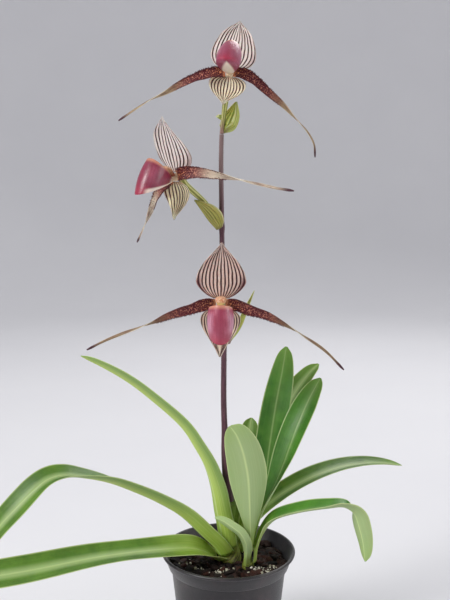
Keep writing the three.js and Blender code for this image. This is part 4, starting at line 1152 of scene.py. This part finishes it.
def make_pouch(flower, material):
    q = np.linspace(0, 1, POUCH_ROWS + 1)[:, None]
    angle = 2 * np.pi * np.arange(AROUND_POUCH) / AROUND_POUCH
    forward, across = (1 + np.cos(angle)) / 2, np.sin(angle)
    mouth = pouch_line(forward, across, (9.5, 12), (9, 31), (1.2, 19), 1.5)
    flank = pouch_line(forward, across, (9, 18), (4.3, 43), (-1.6, 5), 2)
    sole = pouch_line(forward, across, (2, 14), (2.6, 48), (-3.2, -14))
    parts = ((mouth, (1 - q) ** 2), (flank, 2 * q * (1 - q)), (sole, q ** 2))
    outer = sum(line * share[..., None] for line, share in parts).reshape(-1, 3)
    faces = ring_faces(POUCH_ROWS, AROUND_POUCH)
    bottom = POUCH_ROWS * AROUND_POUCH
    for k in range(AROUND_POUCH // 2):
        opposite = [bottom + (AROUND_POUCH - j) % AROUND_POUCH for j in (k + 1, k)]
        faces.append(tuple(dict.fromkeys([bottom + k, bottom + k + 1] + opposite)))
    draft = bpy.data.meshes.new("pouch_draft")
    draft.from_pydata(outer.tolist(), [], faces)
    normals = np.array([v.normal for v in draft.vertices])
    bpy.data.meshes.remove(draft)
    if ((outer - outer.mean(0)) * normals).sum() < 0:
        normals = -normals
        faces = [face[::-1] for face in faces]
    thin = POUCH_THICKNESS * np.repeat(np.linspace(0.55, 1, POUCH_ROWS + 1), AROUND_POUCH)[:, None]
    both = np.concatenate([outer, outer - normals * thin])
    count = len(outer)
    faces = faces + [tuple(i + count for i in face[::-1]) for face in faces]
    for k in range(AROUND_POUCH):
        after = (k + 1) % AROUND_POUCH
        faces.append((k, k + count, after + count, after))
    tilt = np.array(Matrix.Rotation(math.radians(flower["drop"]), 3, "X"))
    both = (both - CLAW) @ tilt.T + CLAW
    down, toward_toe = np.repeat(q.ravel(), AROUND_POUCH), np.tile(forward, POUCH_ROWS + 1)
    place = np.stack([down, toward_toe, np.zeros(count)], 1)
    name = flower["name"]
    piece = make_piece(f"{name}_flower_pouch", stand(flower, both) * MM, faces, material, "pouch",
                       [f"flower_{name}_pouch"], place=np.concatenate([place, place + (0, 0, 1)]),
                       run=np.tile(np.stack([across, 0 * across, 0 * across], 1), (2 * POUCH_ROWS + 2, 1)))
    shell = bmesh.new()
    shell.from_mesh(piece.data)
    bmesh.ops.recalc_face_normals(shell, faces=shell.faces)
    shell.to_mesh(piece.data)
    shell.free()


# The middle flower's rose is painted darker than the others, as painted shade, and the low flower's flanks
# carry the most painted highlight.
POUCH_LOOKS = {
    "low": (("#9c3851", "#b65c70"), 0.4, 0.7, 0),
    "middle": (("#7c2139", "#983a50"), 0.25, 0.12, 0.85),
    "top": (("#8e324d", "#a44e68"), 0.05, 0.3, 0),
}
for flower in FLOWERS:
    make_pouch(flower, pouch_skin(f"{flower['name']}_pouch_skin", *POUCH_LOOKS[flower["name"]]))


# The column carries the stigma and pollen: a short stout post bent over the mouth of the pouch,
# ending in a downy yellow shield with a beak.

COLUMN_LINE = [(0, -3.1, 2), (0, -5.5, 4.6), (0, -9, 8), (0, -13, 9.4), (0, -17, 8.4), (0, -20, 5)]
COLUMN_RADII = [(0, 2.6), (0.25, 4.2), (0.5, 4.7), (0.7, 4.8), (0.87, 4), (1, 2.4)]
COLUMN_FLATNESS, COLUMN_SHIELD = 0.65, 0.45
COLUMN_HAIRS, DOWNY_ROWS = 320, (16, 40)


def column_skin():
    skin = Finish("column_skin", 0.4, soft=(0.15, 0.002), Sheen_Weight=0.25)
    along = skin.read("place")[0]
    where = skin.object_place()
    mottle = skin.cloud(where, 420.0)
    skin.paint(skin.layers(
        "#d28f62",
        ("#f2c7a0", mottle, 0.35, 0.7),
        ("#b0653f", along, 0.35, 0.1),
        ("#a5503f", skin.cells(where, 1100.0), 0.5, 0.3, 0.55),
        ("#e9cf7a", along, 0.85, 1.0)))
    skin.relief(mottle, 0.0003)
    return skin.material


def make_column(flower, material, down):
    s = np.linspace(0, 1, 44)
    point, tangent, face, side, length = carried(COLUMN_LINE, (0, 0, 1), s)
    radii = through(COLUMN_RADII, s)
    rings = tube(point, face * COLUMN_FLATNESS, side, radii, 28, lambda a: 1 - COLUMN_SHIELD * np.sin(a))
    name = flower["name"]
    skinned(f"{name}_flower_column", stand(flower, rings), s, length, material, "column",
            [f"flower_{name}_column"])
    roots, ways, lengths = [], [], []
    for _ in range(COLUMN_HAIRS):
        row, angle = chance.randrange(*DOWNY_ROWS), chance.uniform(0, FULL_TURN)
        way = COLUMN_FLATNESS * face[row] * math.sin(angle) + side[row] * math.cos(angle)
        way = way * (1 - COLUMN_SHIELD * math.sin(angle))
        roots.append(point[row] + way * radii[row] * 0.98)
        ways.append(way + tangent[row] * 0.3)
        lengths.append(chance.uniform(0.5, 1.3) * (1 + abs(math.cos(angle))) / 1.5)
    spin = stand(flower, ways) - stand(flower, np.zeros((1, 3)))
    hairs(f"{name}_flower_column_down", stand(flower, roots), spin, lengths, down, "column", 0.04)


COLUMN_SKIN = column_skin()
COLUMN_DOWN = plain_finish("column_down", ("#b07a4c", "#e6cf98"), 0.7)
for flower in FLOWERS:
    make_column(flower, COLUMN_SKIN, COLUMN_DOWN)


# The stage is a plain pale floor that curves up into a wall all round, lit softly from above and
# from the left, with the camera at the height of the middle flower, looking slightly down.

STAGE_REACH = 4.0
STAGE_BEND = 1.6
STAGE_WALL = 3.4
PLANT_HEART = (0, 0, 0.35)


def make_stage():
    pale = Finish("stage_paper", 0.1, 0.95)
    pale.paint(pale.layers("#dddcdf", ("#e3e2e4", pale.cloud(pale.object_place(), 3.0))))
    outline = [(0, 0), (STAGE_REACH - STAGE_BEND, 0)]
    outline += roll((STAGE_REACH - STAGE_BEND, STAGE_BEND), STAGE_BEND, -84, 0, 14)
    outline += [(STAGE_REACH, STAGE_WALL)]
    floor = make_object("studio_floor", *turned(outline, 96), pale.material)


def add_lamp(name, place, size, power):
    """A round lamp that points at the middle of the plant."""
    lamp = bpy.data.lights.new(name, "AREA")
    lamp.shape, lamp.size, lamp.energy = "DISK", size, power
    holder = bpy.data.objects.new(name, lamp)
    holder.location = place
    holder.rotation_mode = "QUATERNION"
    holder.rotation_quaternion = (Vector(PLANT_HEART) - Vector(place)).to_track_quat("-Z", "Y")
    bpy.context.scene.collection.objects.link(holder)


make_stage()
add_lamp("key_lamp", (-1.6, -1.2, 1.7), 1.0, 39)
add_lamp("fill_lamp", (2.0, -0.5, 1.0), 1.4, 14)
add_lamp("back_lamp", (0.6, 1.6, 1.9), 1.2, 20)

sky = bpy.data.worlds.new("studio_sky")
sky.use_nodes = True
sky.node_tree.nodes["Background"].inputs["Color"].default_value = (0.86, 0.88, 0.92, 1)
sky.node_tree.nodes["Background"].inputs["Strength"].default_value = 0.55
bpy.context.scene.world = sky
bpy.context.scene.view_settings.view_transform = "Standard"

CAMERA_PITCH = 7.8
camera_data = bpy.data.cameras.new("camera")
camera_data.sensor_width = 36
camera_data.lens = 51
camera = bpy.data.objects.new("camera", camera_data)
camera.location = (-0.0037, -0.852, 0.506)
camera.rotation_euler = (math.radians(90 - CAMERA_PITCH), 0, 0)
bpy.context.scene.collection.objects.link(camera)
bpy.context.scene.camera = camera
